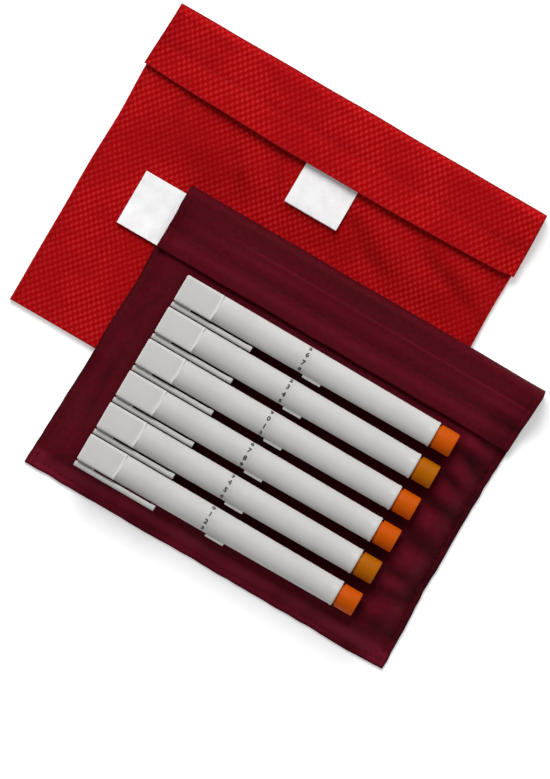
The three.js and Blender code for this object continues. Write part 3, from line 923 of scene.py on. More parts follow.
# width of the painted shade at the outer flap's ends and of the painted highlight along its free edge
PAINTED_EDGE_WIDTH = 0.9 * MM
EDGE_STRAY = 0.45 * MM  # how far the sides stray from their straight cut
FLAP_SAG = 2.3 * MM  # how far the middle of its free edge hangs below the corners
FLAP_LIFT = 1.3 * MM  # how far its free edge stands off the front panel
FLAP_EASE = 0.25  # how much of a flap, from its fold down, comes before its folds are full
MOUTH_STITCH = 8 * MM
COVERED = 0.15  # how much of its folds the front panel keeps where the inner pouch lies on it
FRONT_FLOOR = 1.62 * OUTER_PLY  # the lowest that its middle may be
LEFT_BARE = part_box("inner_back_cloth")[0].x  # left of this and above the next, it is bare
TOP_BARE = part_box("inner_fold")[1].y
FOLD_SHADE_START = 0.8  # how far round a fold its painted shade starts, in quarters of the way

# Waves over a cloth: each one's height and length in millimetres, and its seed
OUTER_FLAP_WAVES = ((0.35, 30, 5), (0.12, 9, 6))
OUTER_FRONT_WAVES = ((0.3, 34, 11), (0.15, 10, 12))
# Puckers along a seam: their pitch, reach and depth in millimetres, and their seed
OUTER_SIDE_PUCKERS = (8, 4, 0.14, 7)
# Rows of stitches: how proud the cloth beyond stands and how soon it rises, and its puckers
OUTER_HEM_ROW = (0.25, 1.5, (9, 3, 0.1, 3))
OUTER_END_ROWS = (0.2, 1, (7, 3, 0.12, 13))
# Threads: the cloth colour that each matches, its slot, and its share of the thread's thickness
# the outer thread is given the raised yarns' paler red, painted light that keeps its shaded stitches from
# looking dark
OUTER_THREAD = ("red_raised", "red_cloth", 0.8)
INNER_THREAD = ("maroon", "maroon_cloth", 0.7)


def fold_path(v, turn, depth, low, high, reach):
    """y and z of cloth that turns half round at its fold, v metres along the flat cut. It runs
    up to turn on top, round an oval that is depth deep, and back underneath. reach is how much
    of the cut the half round takes."""
    angle = np.pi * (0.5 - np.clip((v - turn) / reach, 0, 1))
    y = turn + depth * np.cos(angle) + np.minimum(v - turn, 0) - np.maximum(v - turn - reach, 0)
    return y, (low + high) / 2 + (high - low) / 2 * np.sin(angle)


def fold_length(depth, low, high):
    return math.pi * (depth + (high - low) / 2) / 2


def fold_shade(v, turn, reach):
    """How much painted shade a fold has, from its upper side round to its lower one, from 0 to 1."""
    return ease((v - turn) / reach * 4 - FOLD_SHADE_START)


OUTER_DEPTH = OUTER_FOLD[1].y - OUTER_TURN - OUTER_PLY / 2
OUTER_HEIGHTS = (OUTER_PLY / 2, OUTER_FOLD[1].z - OUTER_PLY / 2)  # under the fold and on top
OUTER_REACH = fold_length(OUTER_DEPTH, *OUTER_HEIGHTS)


def outer_ends(u):
    """How far each point is from the nearer side of the outer pouch."""
    return np.minimum(u - OUTER_LEFT, OUTER_RIGHT - u)


def outer_edge(u, y):
    """How far the outer pouch's cloth lies to the side of its straight cut."""
    left = bell(u - OUTER_LEFT, 30 * MM)
    right = bell(u - OUTER_RIGHT, 30 * MM)
    return EDGE_STRAY * (left * wander(y, 38, 4) - right * wander(y, 45, 9))


def end_shade(u):
    """How dark the cloth is at the outer flap's two ends, from 0 to 1."""
    return 0.9 * bell(outer_ends(u), PAINTED_EDGE_WIDTH)


def outer_back_surface(u, v):
    y, z = fold_path(v, OUTER_TURN, OUTER_DEPTH, *OUTER_HEIGHTS, OUTER_REACH)
    return u + outer_edge(u, y), y, z


def outer_fold_surface(u, v):
    wavy = OUTER_DEPTH + 0.35 * MM * wander(u, 42, 2)
    y, z = fold_path(v, OUTER_TURN, wavy, *OUTER_HEIGHTS, OUTER_REACH)
    return u + outer_edge(u, y), y, z


def outer_flap_surface():
    top = relief("outer_flap")
    low, high = OUTER_FLAP[0].y, OUTER_TURN
    flare = (OUTER_RIGHT - OUTER_FLAP[1].x) / (OUTER_RIGHT - OUTER_MIDDLE)

    def surface(u, v):
        down = np.clip((high - v) / (high - low), 0, 1)
        x = OUTER_MIDDLE + (u - OUTER_MIDDLE) * (1 - flare * down) + outer_edge(u, v)
        ends = outer_ends(u)
        hem = stitched_row(u, v - low - HEM_STITCH, OUTER_PLY, *OUTER_HEM_ROW)
        sides = stitched_row(v, ends - OUTER_SEAM, OUTER_PLY, *OUTER_END_ROWS)
        folds = rumpled(u, v, *OUTER_FLAP_WAVES) + hem + sides
        z = top(x, v) - OUTER_PLY / 2 + ease(down / FLAP_EASE) * folds
        share = np.clip((u - OUTER_LEFT) / (OUTER_RIGHT - OUTER_LEFT), 0, 1)
        sag = FLAP_SAG * (np.sin(np.pi * share) ** BLUNT + 0.3 * share) * ease(ends / (9 * MM))
        wave = 0.25 * MM * bell(v - low, 14 * MM) * wander(u, 33, 8)
        return x, v + wave - sag * down ** 1.5, z + FLAP_LIFT * bell(v - low, 9 * MM)

    return surface


# Soft folds of the front panel: start and end, width and depth, in millimetres
OUTER_FOLDS = [
    ((-14, 80), (50, 40), 8.0, 1.3),
    ((34, 77), (90, 57), 6.0, 1.2),
    ((-76, 84), (-44, 36), 6.5, 0.7),
    ((-48, 86), (-36, 54), 4.0, 0.3),
    ((-100, 88), (-104, 50), 4.0, 0.35),
    ((-120, -48), (-96, 6), 6.0, 0.3),
]


def outer_folds(u, v):
    return sum(crease(u, v, (0, 0), *fold) for fold in OUTER_FOLDS)


def outer_front_wear(u, v):
    """Painted shade in the folds' hollows and a painted highlight on their crests, and painted shade along
    the side seams.
    """
    return fold_wear(outer_folds(u, v)) - 0.5 * bell(outer_ends(u) - OUTER_SEAM / 2, 1.2 * MM)


def outer_front_surface():
    top = relief("outer_front_panel")
    left, right = OUTER_SIDES

    def surface(u, v):
        bare = np.clip(ease((v - TOP_BARE) / (5 * MM)) + ease((LEFT_BARE - u) / (5 * MM)), 0, 1)
        side = np.minimum(np.abs(u - left), np.abs(u - right))
        folds = rumpled(u, v, *OUTER_FRONT_WAVES) + outer_folds(u, v)
        z = top(u, v) - OUTER_PLY / 2 + (COVERED + (1 - COVERED) * bare) * ease(side / (9 * MM)) * folds
        z = z + bare * pucker(v, side, *OUTER_SIDE_PUCKERS)
        for away in (u - left, u - right, v - OUTER_FRONT[1].y + MOUTH_STITCH):
            z = z + seam_groove(away, OUTER_PLY)
        return u + outer_edge(u, v), v, np.maximum(z, FRONT_FLOOR)

    return surface


def outer_lines():
    return lines(OUTER_LEFT, OUTER_RIGHT, bpy.context.scene.case_cloth.mesh_step, OUTER_PLY)


def body_seams(left, right, low, mouth, hem):
    """A pouch's two side seams, the one along its foot and the hem of its mouth."""
    top = mouth - MM
    return [
        ((left, low), (left, top)), ((right, low), (right, top)),
        ((left, low), (right, low)), ((left, hem), (right, hem)),
    ]


def sew(name, body, thread, surface, ply, rows, seed):
    tone, slot, finer = thread
    row = stitches(name, surface, ply, rows, seed, finer)
    settle(row, sewing_thread(tone), body, slot)


class CASE_OT_outer_body(Operator):
    """Make the outer pouch's back and front panels and their seams"""

    bl_idname = "cooling_case.outer_body"
    bl_label = "Outer pouch body"

    def execute(self, context):
        step = context.scene.case_cloth.mesh_step
        bottom, mouth = OUTER_BACK[0].y, OUTER_FRONT[1].y
        start = OUTER_TURN + OUTER_REACH
        end = start + OUTER_TURN - bottom
        back = cloth(
            "outer_back", outer_lines(), lines(start, end, 2 * step, OUTER_PLY, (False, True)),
            outer_back_surface, OUTER_PLY,
        )
        settle(back, red_weave(), "outer_pouch", "red_cloth", "outer_back_panel")
        surface = outer_front_surface()
        front = cloth(
            "outer_front", outer_lines(), lines(bottom, mouth, step, OUTER_PLY), surface, OUTER_PLY,
            wear=outer_front_wear,
        )
        settle(front, red_weave(), "outer_pouch", "red_cloth", "outer_front_panel")
        seams = body_seams(*OUTER_SIDES, bottom + OUTER_SEAM, mouth, mouth - MOUTH_STITCH)
        sew("outer_seams", "outer_pouch", OUTER_THREAD, surface, OUTER_PLY, seams, 1)
        return {"FINISHED"}


class CASE_OT_outer_flap(Operator):
    """Make the outer pouch's flap, the fold that it hangs from and its stitched hem"""

    bl_idname = "cooling_case.outer_flap"
    bl_label = "Outer flap"

    def execute(self, context):
        step = context.scene.case_cloth.mesh_step
        # the fold gets painted shade round its turn and at its two ends
        turn = cloth(
            "outer_turn", outer_lines(),
            lines(OUTER_TURN, OUTER_TURN + OUTER_REACH, step / 2, OUTER_PLY, (False, False)),
            outer_fold_surface, OUTER_PLY,
            wear=lambda u, v: -fold_shade(v, OUTER_TURN, OUTER_REACH) - end_shade(u),
        )
        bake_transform(turn)
        settle(turn, red_weave(), None, "red_cloth", "outer_fold")
        surface = outer_flap_surface()
        # the flap's free edge gets a painted highlight, and its two ends painted shade
        flap = cloth(
            "outer_flap_cloth", outer_lines(),
            lines(OUTER_FLAP[0].y, OUTER_TURN, step, OUTER_PLY, (True, False)), surface, OUTER_PLY,
            wear=lambda u, v: bell(v - OUTER_FLAP[0].y, PAINTED_EDGE_WIDTH) - end_shade(u),
        )
        settle(flap, red_weave(), "outer_flap", "red_cloth", "outer_flap")
        row = OUTER_FLAP[0].y + HEM_STITCH
        seams = [((OUTER_LEFT + MM, row), (OUTER_RIGHT - MM, row))]
        sew("outer_flap_stitches", "outer_flap", OUTER_THREAD, surface, OUTER_PLY, seams, 2)
        return {"FINISHED"}


STRIP_BASE = 0.28 * MM
STRIP_STEP = 1.5 * MM  # size of the faces that its tape is made of
PILE_PITCH = 1.3 * MM
PILE_HEIGHT = 0.3 * MM
PILE_HALF = 0.35 * MM  # half the width of an arc
PILE_THREAD = 0.11 * MM
PILE_STEPS = 5
HOOK = 0.72  # how much of a half circle a hook is


def laid(height):
    """A surface straight above its flat cut. height(u, v) is how high its middle lies."""
    return lambda u, v: (u + 0 * v, v + 0 * u, height(u, v))


def pile(name, low, high, base, way, bend):
    """Rows of little arcs of nylon that stand on a strip. bend is how much of a half circle each
    one is: a whole one is a loop, and less is a hook that ends open."""
    jitter = random.Random(len(name))
    points, faces = [], []
    columns = int((high.x - low.x) / PILE_PITCH) - 1
    rows = int((high.y - low.y) / PILE_PITCH) - 1
    for i in range(columns):
        for j in range(rows):
            x = low.x + (i + 1) * PILE_PITCH + jitter.uniform(-1, 1) * PILE_PITCH / 6
            y = low.y + (j + 1) * PILE_PITCH + jitter.uniform(-1, 1) * PILE_PITCH / 6
            heading = jitter.uniform(0, math.pi)
            ahead = Vector((math.cos(heading), math.sin(heading), 0))
            side = Vector((-ahead.y, ahead.x, 0))
            first = len(points)
            for k in range(PILE_STEPS):
                angle = math.pi * bend * k / (PILE_STEPS - 1)
                out = -ahead * math.cos(angle)
                centre = Vector((x, y, base)) + out * PILE_HALF
                out.z = way * math.sin(angle)
                centre.z += out.z * (PILE_HEIGHT - PILE_THREAD / 2)
                for a, b in ((1, 0), (0, 1), (-1, 0), (0, -1)):
                    points.append(centre + (side * a + out * b) * PILE_THREAD / 2)
            for at in range(first, first + 4 * (PILE_STEPS - 1), 4):
                faces += [[at + s, at + (s + 1) % 4, at + 4 + (s + 1) % 4, at + 4 + s] for s in range(4)]
            faces += [[first + s for s in (3, 2, 1, 0)], [len(points) - 4 + s for s in range(4)]]
    return add_object(name, points, faces)


class CASE_OT_closing_strips(Operator):
    """Make the hook and loop strips that close the outer flap"""

    bl_idname = "cooling_case.closing_strips"
    bl_label = "Closing strips"

    def execute(self, context):
        for kind, body, way, bend in (("loop", "outer_pouch", 1, 1.0), ("hook", "outer_flap", -1, HOOK)):
            low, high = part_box(f"outer_{kind}_strip")
            back = low.z if way == 1 else high.z
            middle = back + way * STRIP_BASE / 2
            strip = cloth(
                f"outer_{kind}_tape", lines(low.x, high.x, STRIP_STEP, STRIP_BASE),
                lines(low.y, high.y, STRIP_STEP, STRIP_BASE),
                laid(lambda u, v, middle=middle: 0 * u + 0 * v + middle), STRIP_BASE,
            )
            settle(strip, strip_pile(kind), body, "strip_cloth", f"outer_{kind}_strip")
            nap = pile(f"outer_{kind}_pile", low, high, back + way * STRIP_BASE, way, bend)
            settle(nap, strip_pile(kind), body, "strip_cloth")
        return {"FINISHED"}


# Labels

LABEL_PLY = 0.2 * MM
LABEL_LIFT = 1.5 * MM  # how far its lower side stands off the pouch
LABEL_TURN = 0.16 * MM  # the radius of its fold
LABEL_STEP = 0.8 * MM  # size of the faces that it is made of
LABEL_ROUND = math.pi * LABEL_TURN


def label(name, node, body, along_x):
    """A ribbon folded in two, sewn in at its cut ends. Its fold points to the left where along_x
    is true, and down the pouch otherwise."""
    low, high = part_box(node)
    top, under = relief(node), relief(node, -1)
    long, wide = high.x - low.x, high.y - low.y
    reach, width = (long, wide) if along_x else (wide, long)
    tip, side = (low.x, (low.y + high.y) / 2) if along_x else (low.y, (low.x + high.x) / 2)

    def place(u, back):
        """x and y, u across the ribbon and back metres from its tip."""
        return (tip + back, side - u) if along_x else (side + u, tip + back)

    def surface(u, v):
        # v runs from -reach at the tip, up over the top ply to 0, and below it to the far end
        over = np.maximum(v, -reach) + reach
        below = np.maximum(-reach - LABEL_ROUND - v, 0)
        angle = np.clip((-reach - v) / LABEL_TURN, 0, np.pi)
        back = LABEL_TURN + over + below - LABEL_TURN * np.sin(angle)
        x, y = place(u, back)
        lift = top(x, y) - LABEL_PLY / 2 - LABEL_TURN * (1 - np.cos(angle))
        floor = under(x, y) + LABEL_PLY / 2
        curl = 0.25 * MM * waves(u, back, 16, 21) * ease((reach * 0.8 - back) / (8 * MM))
        curl = curl + 0.35 * MM * bell(back, 5 * MM) * bell(np.abs(u) - width / 2, 5 * MM)
        free = width / 2 - u if along_x else back
        curl = curl + LABEL_LIFT * bell(free, 9 * MM) * ease((reach * 0.78 - back) / (5 * MM))
        return x, y, np.maximum(lift, floor) + np.maximum(curl, 0)

    strip = cloth(
        name, lines(-width / 2, width / 2, LABEL_STEP, LABEL_PLY),
        lines(-2 * reach - LABEL_ROUND + 2 * MM, -MM / 4, LABEL_STEP / 2, LABEL_PLY),
        surface, LABEL_PLY,
    )
    settle(strip, label_satin(), body, "label_cloth", node)


class CASE_OT_labels(Operator):
    """Make the plain woven label of each pouch"""

    bl_idname = "cooling_case.labels"
    bl_label = "Labels"

    def execute(self, context):
        label("outer_label_ribbon", "outer_label", "outer_flap", False)
        label("inner_label_ribbon", "inner_label", "inner_flap", True)
        return {"FINISHED"}


# Inner pouch

INNER_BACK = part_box("inner_back_cloth")
INNER_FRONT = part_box("inner_front_cloth")
INNER_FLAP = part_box("inner_flap")
INNER_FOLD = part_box("inner_fold")
INNER_LEFT, INNER_RIGHT = INNER_BACK[0].x, INNER_BACK[1].x
INNER_BOTTOM = INNER_BACK[0].y
INNER_TURN = INNER_FOLD[0].y
INNER_PLY = 0.6 * MM
INNER_FLAP_PLY = 1.2 * MM
INNER_SEAM = 4 * MM
INNER_SIDES = (INNER_LEFT + INNER_SEAM, INNER_RIGHT - INNER_SEAM)
INNER_FOOT = INNER_BOTTOM + INNER_SEAM
BAND_STITCH = 12.4 * MM  # from the inner flap's free edge up to its stitched band
INNER_FLAP_LIFT = 0.5 * MM
FOLD_SLIP = 1.2 * MM  # how far the cloth has slipped to the right at the inner pouch's fold
PEN_FIELD = (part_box("pen_6_cap")[0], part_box("pen_1_button")[1])  # the ground that the pens cover
FRONT_STEP = 0.8  # size of the front cloth's and the flap's faces, in mesh steps
RIM_SHADE = 0.8 * MM  # how wide the dark rims and stitch lines are

# Puffs of slack cloth by the right seam: middle from the pouch's bottom right corner, half
# length, half width, turn in degrees and height. The creases are the hollows between them.
RIGHT_PUFFS = [
    ((-13.0, 122.5), 11.0, 4.4, -8, 1.5),
    ((-15.0, 107.0), 11.0, 4.6, -24, 2.1),
    ((-15.0, 94.0), 10.0, 5.6, -8, 1.9),
    ((-15.0, 77.5), 10.5, 6.6, -8, 2.3),
    ((-16.0, 54.5), 10.5, 6.8, -3, 2.6),
    ((-17.5, 40.8), 9.0, 4.0, 2, 1.7),
    ((-14.5, 27.0), 10.5, 7.0, 0, 1.9),
    ((-18.0, 11.0), 15.0, 7.0, -8, 1.5),
]
# Soft folds by the left seam: start and end from the bottom left corner, width and depth
LEFT_FOLDS = [
    ((10, 38), (16, 92), 3.6, 0.3),
    ((17, 16), (12, 66), 3.0, 0.25),
    ((6, 84), (18, 116), 3.2, 0.35),
    ((5, 6), (30, 14), 3.0, 0.25),
    ((40, 6), (90, 4), 3.0, 0.25),
    ((110, 4), (170, 7), 3.0, 0.25),
]
# Waves, puckers and a row of stitches, given as for the outer pouch
INNER_FRONT_WAVES = ((0.3, 26, 41), (0.12, 8, 42))
INNER_FLAP_WAVES = ((0.28, 28, 52), (0.1, 8, 53))
LEFT_EDGE_WAVES = ((0.5, 26, 31), (0.15, 6, 32))
RIGHT_EDGE_WAVES = ((0.4, 22, 33), (0.22, 6, 34))
FOOT_WAVES = ((0.45, 30, 35), (0.15, 7, 36))
RIGHT_PUCKERS = (6.5, 4, 0.4, 43)
LEFT_PUCKERS = (9, 4, 0.22, 44)
FOOT_PUCKERS = (9, 4, 0.25, 45)
BAND_ROW = (0.18, 3, (8, 3, 0.09, 54), 0.5)  # its groove is half as deep


def inner_ends(u):
    """How far each point is from the nearer side of the inner pouch."""
    return np.minimum(u - INNER_LEFT, INNER_RIGHT - u)


def inner_edge(u, v):
    """How far the inner pouch's cloth lies from its straight cut, to the side and up. bowed and
    hollow are in millimetres, and the rest in metres."""
    down = np.clip((INNER_TURN - v) / (INNER_TURN - INNER_BOTTOM), 0, 1)
    left = bell(u - INNER_LEFT, 22 * MM)
    right = bell(u - INNER_RIGHT, 22 * MM)
    foot = bell(v - INNER_BOTTOM, 16 * MM)
    bowed = 0.4 + 1.7 * np.sin(np.pi * down ** 0.8) - 1.8 * down
    hollow = 0.2 - 1.5 * np.sin(np.pi * np.clip(down * 1.15 - 0.1, 0, 1))
    outwards = bowed * MM + rumpled(v, 0 * v, *LEFT_EDGE_WAVES)
    inwards = hollow * MM + rumpled(v, 0 * v, *RIGHT_EDGE_WAVES)
    return left * outwards + right * inwards, foot * rumpled(u, 0 * u, *FOOT_WAVES)


def inner_folds(u, v):
    """Soft folds over the inner pouch's front panel."""
    puffs = sum(puff(u, v, (INNER_RIGHT, INNER_BOTTOM), *shape) for shape in RIGHT_PUFFS)
    folds = sum(crease(u, v, (INNER_LEFT, INNER_BOTTOM), *shape) for shape in LEFT_FOLDS)
    return rumpled(u, v, *INNER_FRONT_WAVES) + puffs + folds


def inner_ripple(u, v):
    """The folds, with puckers along the seams."""
    left, right = INNER_SIDES
    sides = pucker(v, u - right, *RIGHT_PUCKERS) + pucker(v, u - left, *LEFT_PUCKERS)
    return inner_folds(u, v) + sides + pucker(u, v - INNER_FOOT, *FOOT_PUCKERS)


def hem_shade(u, v):
    """Dark rims of the cloth's two sides, and dark pinches at the stitches of their seams."""
    away = inner_ends(u)
    pinches = np.clip(0.5 + 1.3 * wander(u + v, 2.4, 47), 0, 1)
    return 0.8 * bell(away, RIM_SHADE) + 0.7 * pinches * bell(away - INNER_SEAM, RIM_SHADE)


def inner_front_wear(u, v):
    """Painted shade in the folds' hollows and a painted highlight on their crests, a painted paler band along
    the foot, and the painted dark rims and seam lines.
    """
    foot = 0.75 * ease((INNER_BOTTOM + 13 * MM - v) / (6 * MM)) * (1 + 0.3 * wander(u, 20, 46))
    return fold_wear(inner_folds(u, v)) + foot - hem_shade(u, v) - 0.8 * bell(v - INNER_BOTTOM, RIM_SHADE)


def under_pens(u, v):
    """1 where the pens lie, falling to 0 round them."""
    low, high = PEN_FIELD
    inside = 1
    for away in (u - low.x, high.x - u, v - low.y, high.y - v):
        inside = inside * ease((away + 2 * MM) / (4 * MM))
    return inside


SLACK = 0.6 * MM  # how far the front cloth stands up between its folds
DIP = 0.12 * MM  # how far its folds go below the cloth's even level
BUTTON_WAY = 12.5 * MM  # how far past the pens the cloth stays low enough for their buttons
BUTTON_ROOM = 0.35 * MM
# The highest that the cloth's middle may be on the buttons' way, past which it rises
UNDER_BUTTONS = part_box("pen_1_button")[0].z - BUTTON_ROOM - INNER_PLY / 2
LIMIT_SOFTNESS = 0.25 * MM  # how gradually it nears that limit


def kept_under(z, limit):
    """Heights held below a limit, which they near softly."""
    return limit - LIMIT_SOFTNESS * np.logaddexp(0, (limit - z) / LIMIT_SOFTNESS)


def inner_front_surface():
    top = relief("inner_front_cloth")
    left, right = INNER_SIDES
    mouth = INNER_FLAP[0].y - 3 * MM

    def surface(u, v):
        seam = np.minimum(np.minimum(u - left, right - u), v - INNER_FOOT)
        pens = under_pens(u, v)
        below_mouth = ease((mouth - v) / (6 * MM))
        loose = (1 - pens) * ease(seam / (8 * MM)) * below_mouth
        edge = ease((seam + INNER_SEAM) / (4 * MM))
        ripple = inner_ripple(u, v) * (0.3 + 0.7 * edge) * (0.15 + 0.85 * below_mouth)
        z = top(u, v) - INNER_PLY / 2 + np.maximum(SLACK * loose + ripple * (1 - pens), -DIP)
        past_way = np.maximum(u - PEN_FIELD[1].x - BUTTON_WAY, 0)
        z = kept_under(z, UNDER_BUTTONS + 0.5 * past_way)
        for away in (u - left, u - right, v - INNER_FOOT):
            z = z + seam_groove(away, 1.2 * INNER_PLY)
        aside, up = inner_edge(u, v)
        return u + aside, v + up, np.maximum(z, 1.5 * INNER_PLY + 0.1 * MM)

    return surface


def inner_back_surface():
    under = relief("inner_back_cloth", -1)

    def surface(u, v):
        aside, up = inner_edge(u, v)
        slip = FOLD_SLIP * ease((v - INNER_TURN) / (30 * MM) + 1)
        return u + aside + slip, v + up, np.maximum(under(u, v), 0) + INNER_PLY / 2

    return surface


INNER_DEPTH = INNER_FOLD[1].y - INNER_TURN - INNER_FLAP_PLY / 2
INNER_HEIGHTS = (INNER_BACK[1].z - INNER_PLY / 2, INNER_FOLD[1].z - INNER_FLAP_PLY / 2)
INNER_REACH = fold_length(INNER_DEPTH, *INNER_HEIGHTS)


def inner_fold_surface():
    under = relief("inner_back_cloth", -1)
    high = INNER_HEIGHTS[1]

    def surface(u, v):
        low = np.maximum(under(u, INNER_TURN + 0 * v), 0) + INNER_FLAP_PLY / 2
        wavy = INNER_DEPTH + 0.3 * MM * wander(u, 34, 51)
        reach = fold_length(INNER_DEPTH, low.mean(), high)
        y, z = fold_path(v, INNER_TURN, wavy, low, high, reach)
        return u + FOLD_SLIP + inner_edge(u, v)[0], y, z

    return surface


def inner_flap_surface():
    top = relief("inner_flap")
    low = INNER_FLAP[0].y
    mouth = INNER_FRONT[1].y
    level = INNER_HEIGHTS[1]

    def surface(u, v):
        down = np.clip((INNER_TURN - v) / (INNER_TURN - low), 0, 1)
        x = u + FOLD_SLIP * (1 - down * ease((u - INNER_LEFT) / (60 * MM)))
        up = v - low - BAND_STITCH
        past_mouth = ease((mouth - v) / (3 * MM)) * ease(inner_ends(u) / (6 * MM))
        crest = bell(up - 10.5 * MM, 3 * MM) * (1 + 0.5 * wander(u, 60, 56))
        hollow = bell(up - 1.5 * MM, 2.2 * MM) * ease((u - INNER_LEFT) / (140 * MM))
        bands = MM * (0.3 * crest - 0.25 * hollow - 0.28 * past_mouth)
        row = stitched_row(u, up, INNER_FLAP_PLY, *BAND_ROW)
        z = level + (top(x, v) - INNER_FLAP_PLY / 2 - level) * ease(down / 0.3)
        z = z + ease(down / FLAP_EASE) * (rumpled(u, v, *INNER_FLAP_WAVES) + bands + row)
        share = (u - INNER_LEFT) / (INNER_RIGHT - INNER_LEFT)
        wave = 0.35 * MM * bell(v - low, 10 * MM) * wander(u, 28, 55)
        y = v + wave - 0.9 * MM * share * down
        z = z + INNER_FLAP_LIFT * bell(v - low, 7 * MM)
        return x + inner_edge(u, v)[0] * (1 - 0.6 * down), y, z

    return surface


def inner_flap_wear(u, v):
    """Painted pale and dark bands along the inner flap, which light its raised band and shade the hollow by
    its stitched band, with the painted dark rims and seam lines of hem_shade.
    """
    up = (v - INNER_FLAP[0].y) / MM
    across = (u - INNER_LEFT) / MM
    middle = 1 + 0.5 * wander(u, 50, 56)
    return (
        0.42 * bell(up - 23, 0.9) * ease(across / 60)
        + 0.3 * bell(up - 19, 3.5) * middle
        - 0.42 * bell(up - 12.3, 1.9) * ease((across - 30) / 60) * middle
        + 0.35 * bell(up - 7, 3.2)
        - 0.3 * bell(up - 29.5, 5) * bell(across - 112, 50)
        - hem_shade(u, v)
    )


def inner_lines(ply):
    return lines(INNER_LEFT, INNER_RIGHT, bpy.context.scene.case_cloth.mesh_step, ply)


class CASE_OT_inner_body(Operator):
    """Make the inner pouch's two cotton panels and their seams"""

    bl_idname = "cooling_case.inner_body"
    bl_label = "Inner pouch body"

    def execute(self, context):
        step = context.scene.case_cloth.mesh_step
        back = cloth(
            "inner_back", inner_lines(INNER_PLY),
            lines(INNER_BOTTOM, INNER_TURN, step, INNER_PLY, (True, False)),
            inner_back_surface(), INNER_PLY,
        )
        settle(back, maroon_cotton(), "inner_pouch", "maroon_cloth", "inner_back_cloth")
        mouth = INNER_FRONT[1].y
        surface = inner_front_surface()
        front = cloth(
            "inner_front", inner_lines(INNER_PLY),
            lines(INNER_BOTTOM, mouth, step * FRONT_STEP, INNER_PLY),
            surface, INNER_PLY, wear=inner_front_wear,
        )
        settle(front, maroon_cotton(), "inner_pouch", "maroon_cloth", "inner_front_cloth")
        seams = body_seams(*INNER_SIDES, INNER_FOOT, mouth, mouth - 2 * MM)
        sew("inner_seams", "inner_pouch", INNER_THREAD, surface, INNER_PLY, seams, 3)
        return {"FINISHED"}


class CASE_OT_inner_flap(Operator):
    """Make the inner pouch's flap, its fold and its stitched band"""

    bl_idname = "cooling_case.inner_flap"
    bl_label = "Inner flap"

    def execute(self, context):
        step = context.scene.case_cloth.mesh_step
        # the fold gets painted shade round its turn
        turn = cloth(
            "inner_turn", inner_lines(INNER_FLAP_PLY),
            lines(INNER_TURN, INNER_TURN + INNER_REACH, step / 2, INNER_FLAP_PLY, (False, False)),
            inner_fold_surface(), INNER_FLAP_PLY,
            wear=lambda u, v: -0.5 * fold_shade(v, INNER_TURN, INNER_REACH) + 0 * u,
        )
        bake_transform(turn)
        settle(turn, maroon_cotton(), None, "maroon_cloth", "inner_fold")
        surface = inner_flap_surface()
        flap = cloth(
            "inner_flap_cloth", inner_lines(INNER_FLAP_PLY),
            lines(INNER_FLAP[0].y, INNER_TURN, step * FRONT_STEP, INNER_FLAP_PLY, (True, False)),
            surface, INNER_FLAP_PLY, wear=inner_flap_wear,
        )
        settle(flap, maroon_cotton(), "inner_flap", "maroon_cloth", "inner_flap")
        row = INNER_FLAP[0].y + BAND_STITCH
        seams = [((INNER_LEFT + MM, row), (INNER_RIGHT - MM, row))]
        sew("inner_flap_stitches", "inner_flap", INNER_THREAD, surface, INNER_FLAP_PLY, seams, 4)
        return {"FINISHED"}


GEL_PLY = 0.9 * MM
LAYER_GAP = 0.3 * MM
LAYER_STEP = 2 * MM  # size of the faces that pads and linings are made of
CHANNEL_PITCH = 22 * MM  # from one sewn channel of the cooling pads to the next
CHANNEL_WIDTH = 1.6 * MM
# How far the middle of a pad and of a lining is from that of the pouch's cloth, at least
PAD_DEPTH = INNER_PLY / 2 + LAYER_GAP + GEL_PLY / 2
LINING_DEPTH = PAD_DEPTH + GEL_PLY / 2 + LAYER_GAP + INNER_PLY / 2


class CASE_OT_cooling_pads(Operator):
    """Make the two cooling pads with their sewn channels, and the linings that hold them"""

    bl_idname = "cooling_case.cooling_pads"
    bl_label = "Cooling pads and linings"

    def execute(self, context):
        for side in ("back", "front"):
            self.pad(side)
            self.lining(side)
        return {"FINISHED"}

    def level(self, side, node, depth):
        """The middle of a layer. It is where the CAD has it, and where the pouch's cloth comes
        closer than depth, that far from the cloth."""
        top, under = relief(node), relief(node, -1)
        cloth_at = inner_front_surface() if side == "front" else inner_back_surface()

        def middle(u, v):
            own = (top(u, v) + under(u, v)) / 2
            near = cloth_at(u, v)[2]
            return np.minimum(own, near - depth) if side == "front" else np.maximum(own, near + depth)

        return middle

    def layer(self, name, node, surface, ply):
        low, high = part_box(node)
        return cloth(
            name, lines(low.x, high.x, LAYER_STEP, ply), lines(low.y, high.y, LAYER_STEP, ply),
            laid(surface), ply,
        )

    def pad(self, side):
        node = f"inner_{side}_gel"
        middle = self.level(side, node, PAD_DEPTH)
        obj = self.layer(f"inner_{side}_pad", node, middle, GEL_PLY)
        vertices = obj.data.vertices
        points = np.zeros(len(vertices) * 3)
        vertices.foreach_get("co", points)
        x, y, z = points.reshape(-1, 3).T
        even = middle(x, y)
        away = np.abs((x / CHANNEL_PITCH) % 1 - 0.5) * CHANNEL_PITCH
        pinch = 1 - 0.7 * bell(away, CHANNEL_WIDTH)
        lumps = 0.9 + 0.1 * waves(x, y, 3, 61)
        z[:] = even + (z - even) * pinch * lumps
        vertices.foreach_set("co", points)
        settle(obj, cooling_gel(), "inner_pouch", "cooling_gel", node)

    def lining(self, side):
        node = f"inner_{side}_lining"
        middle = self.level(side, node, LINING_DEPTH)
        obj = self.layer(
            f"inner_{side}_lining_cloth", node,
            lambda u, v: middle(u, v) - 0.05 * MM * (1 + waves(u, v, 20, 62)), INNER_PLY,
        )
        settle(obj, maroon_cotton(True), "inner_pouch", "lining_cloth", node)


# Pens. Sizes are millimetres, and x is measured along a pen from its cap's closed end.

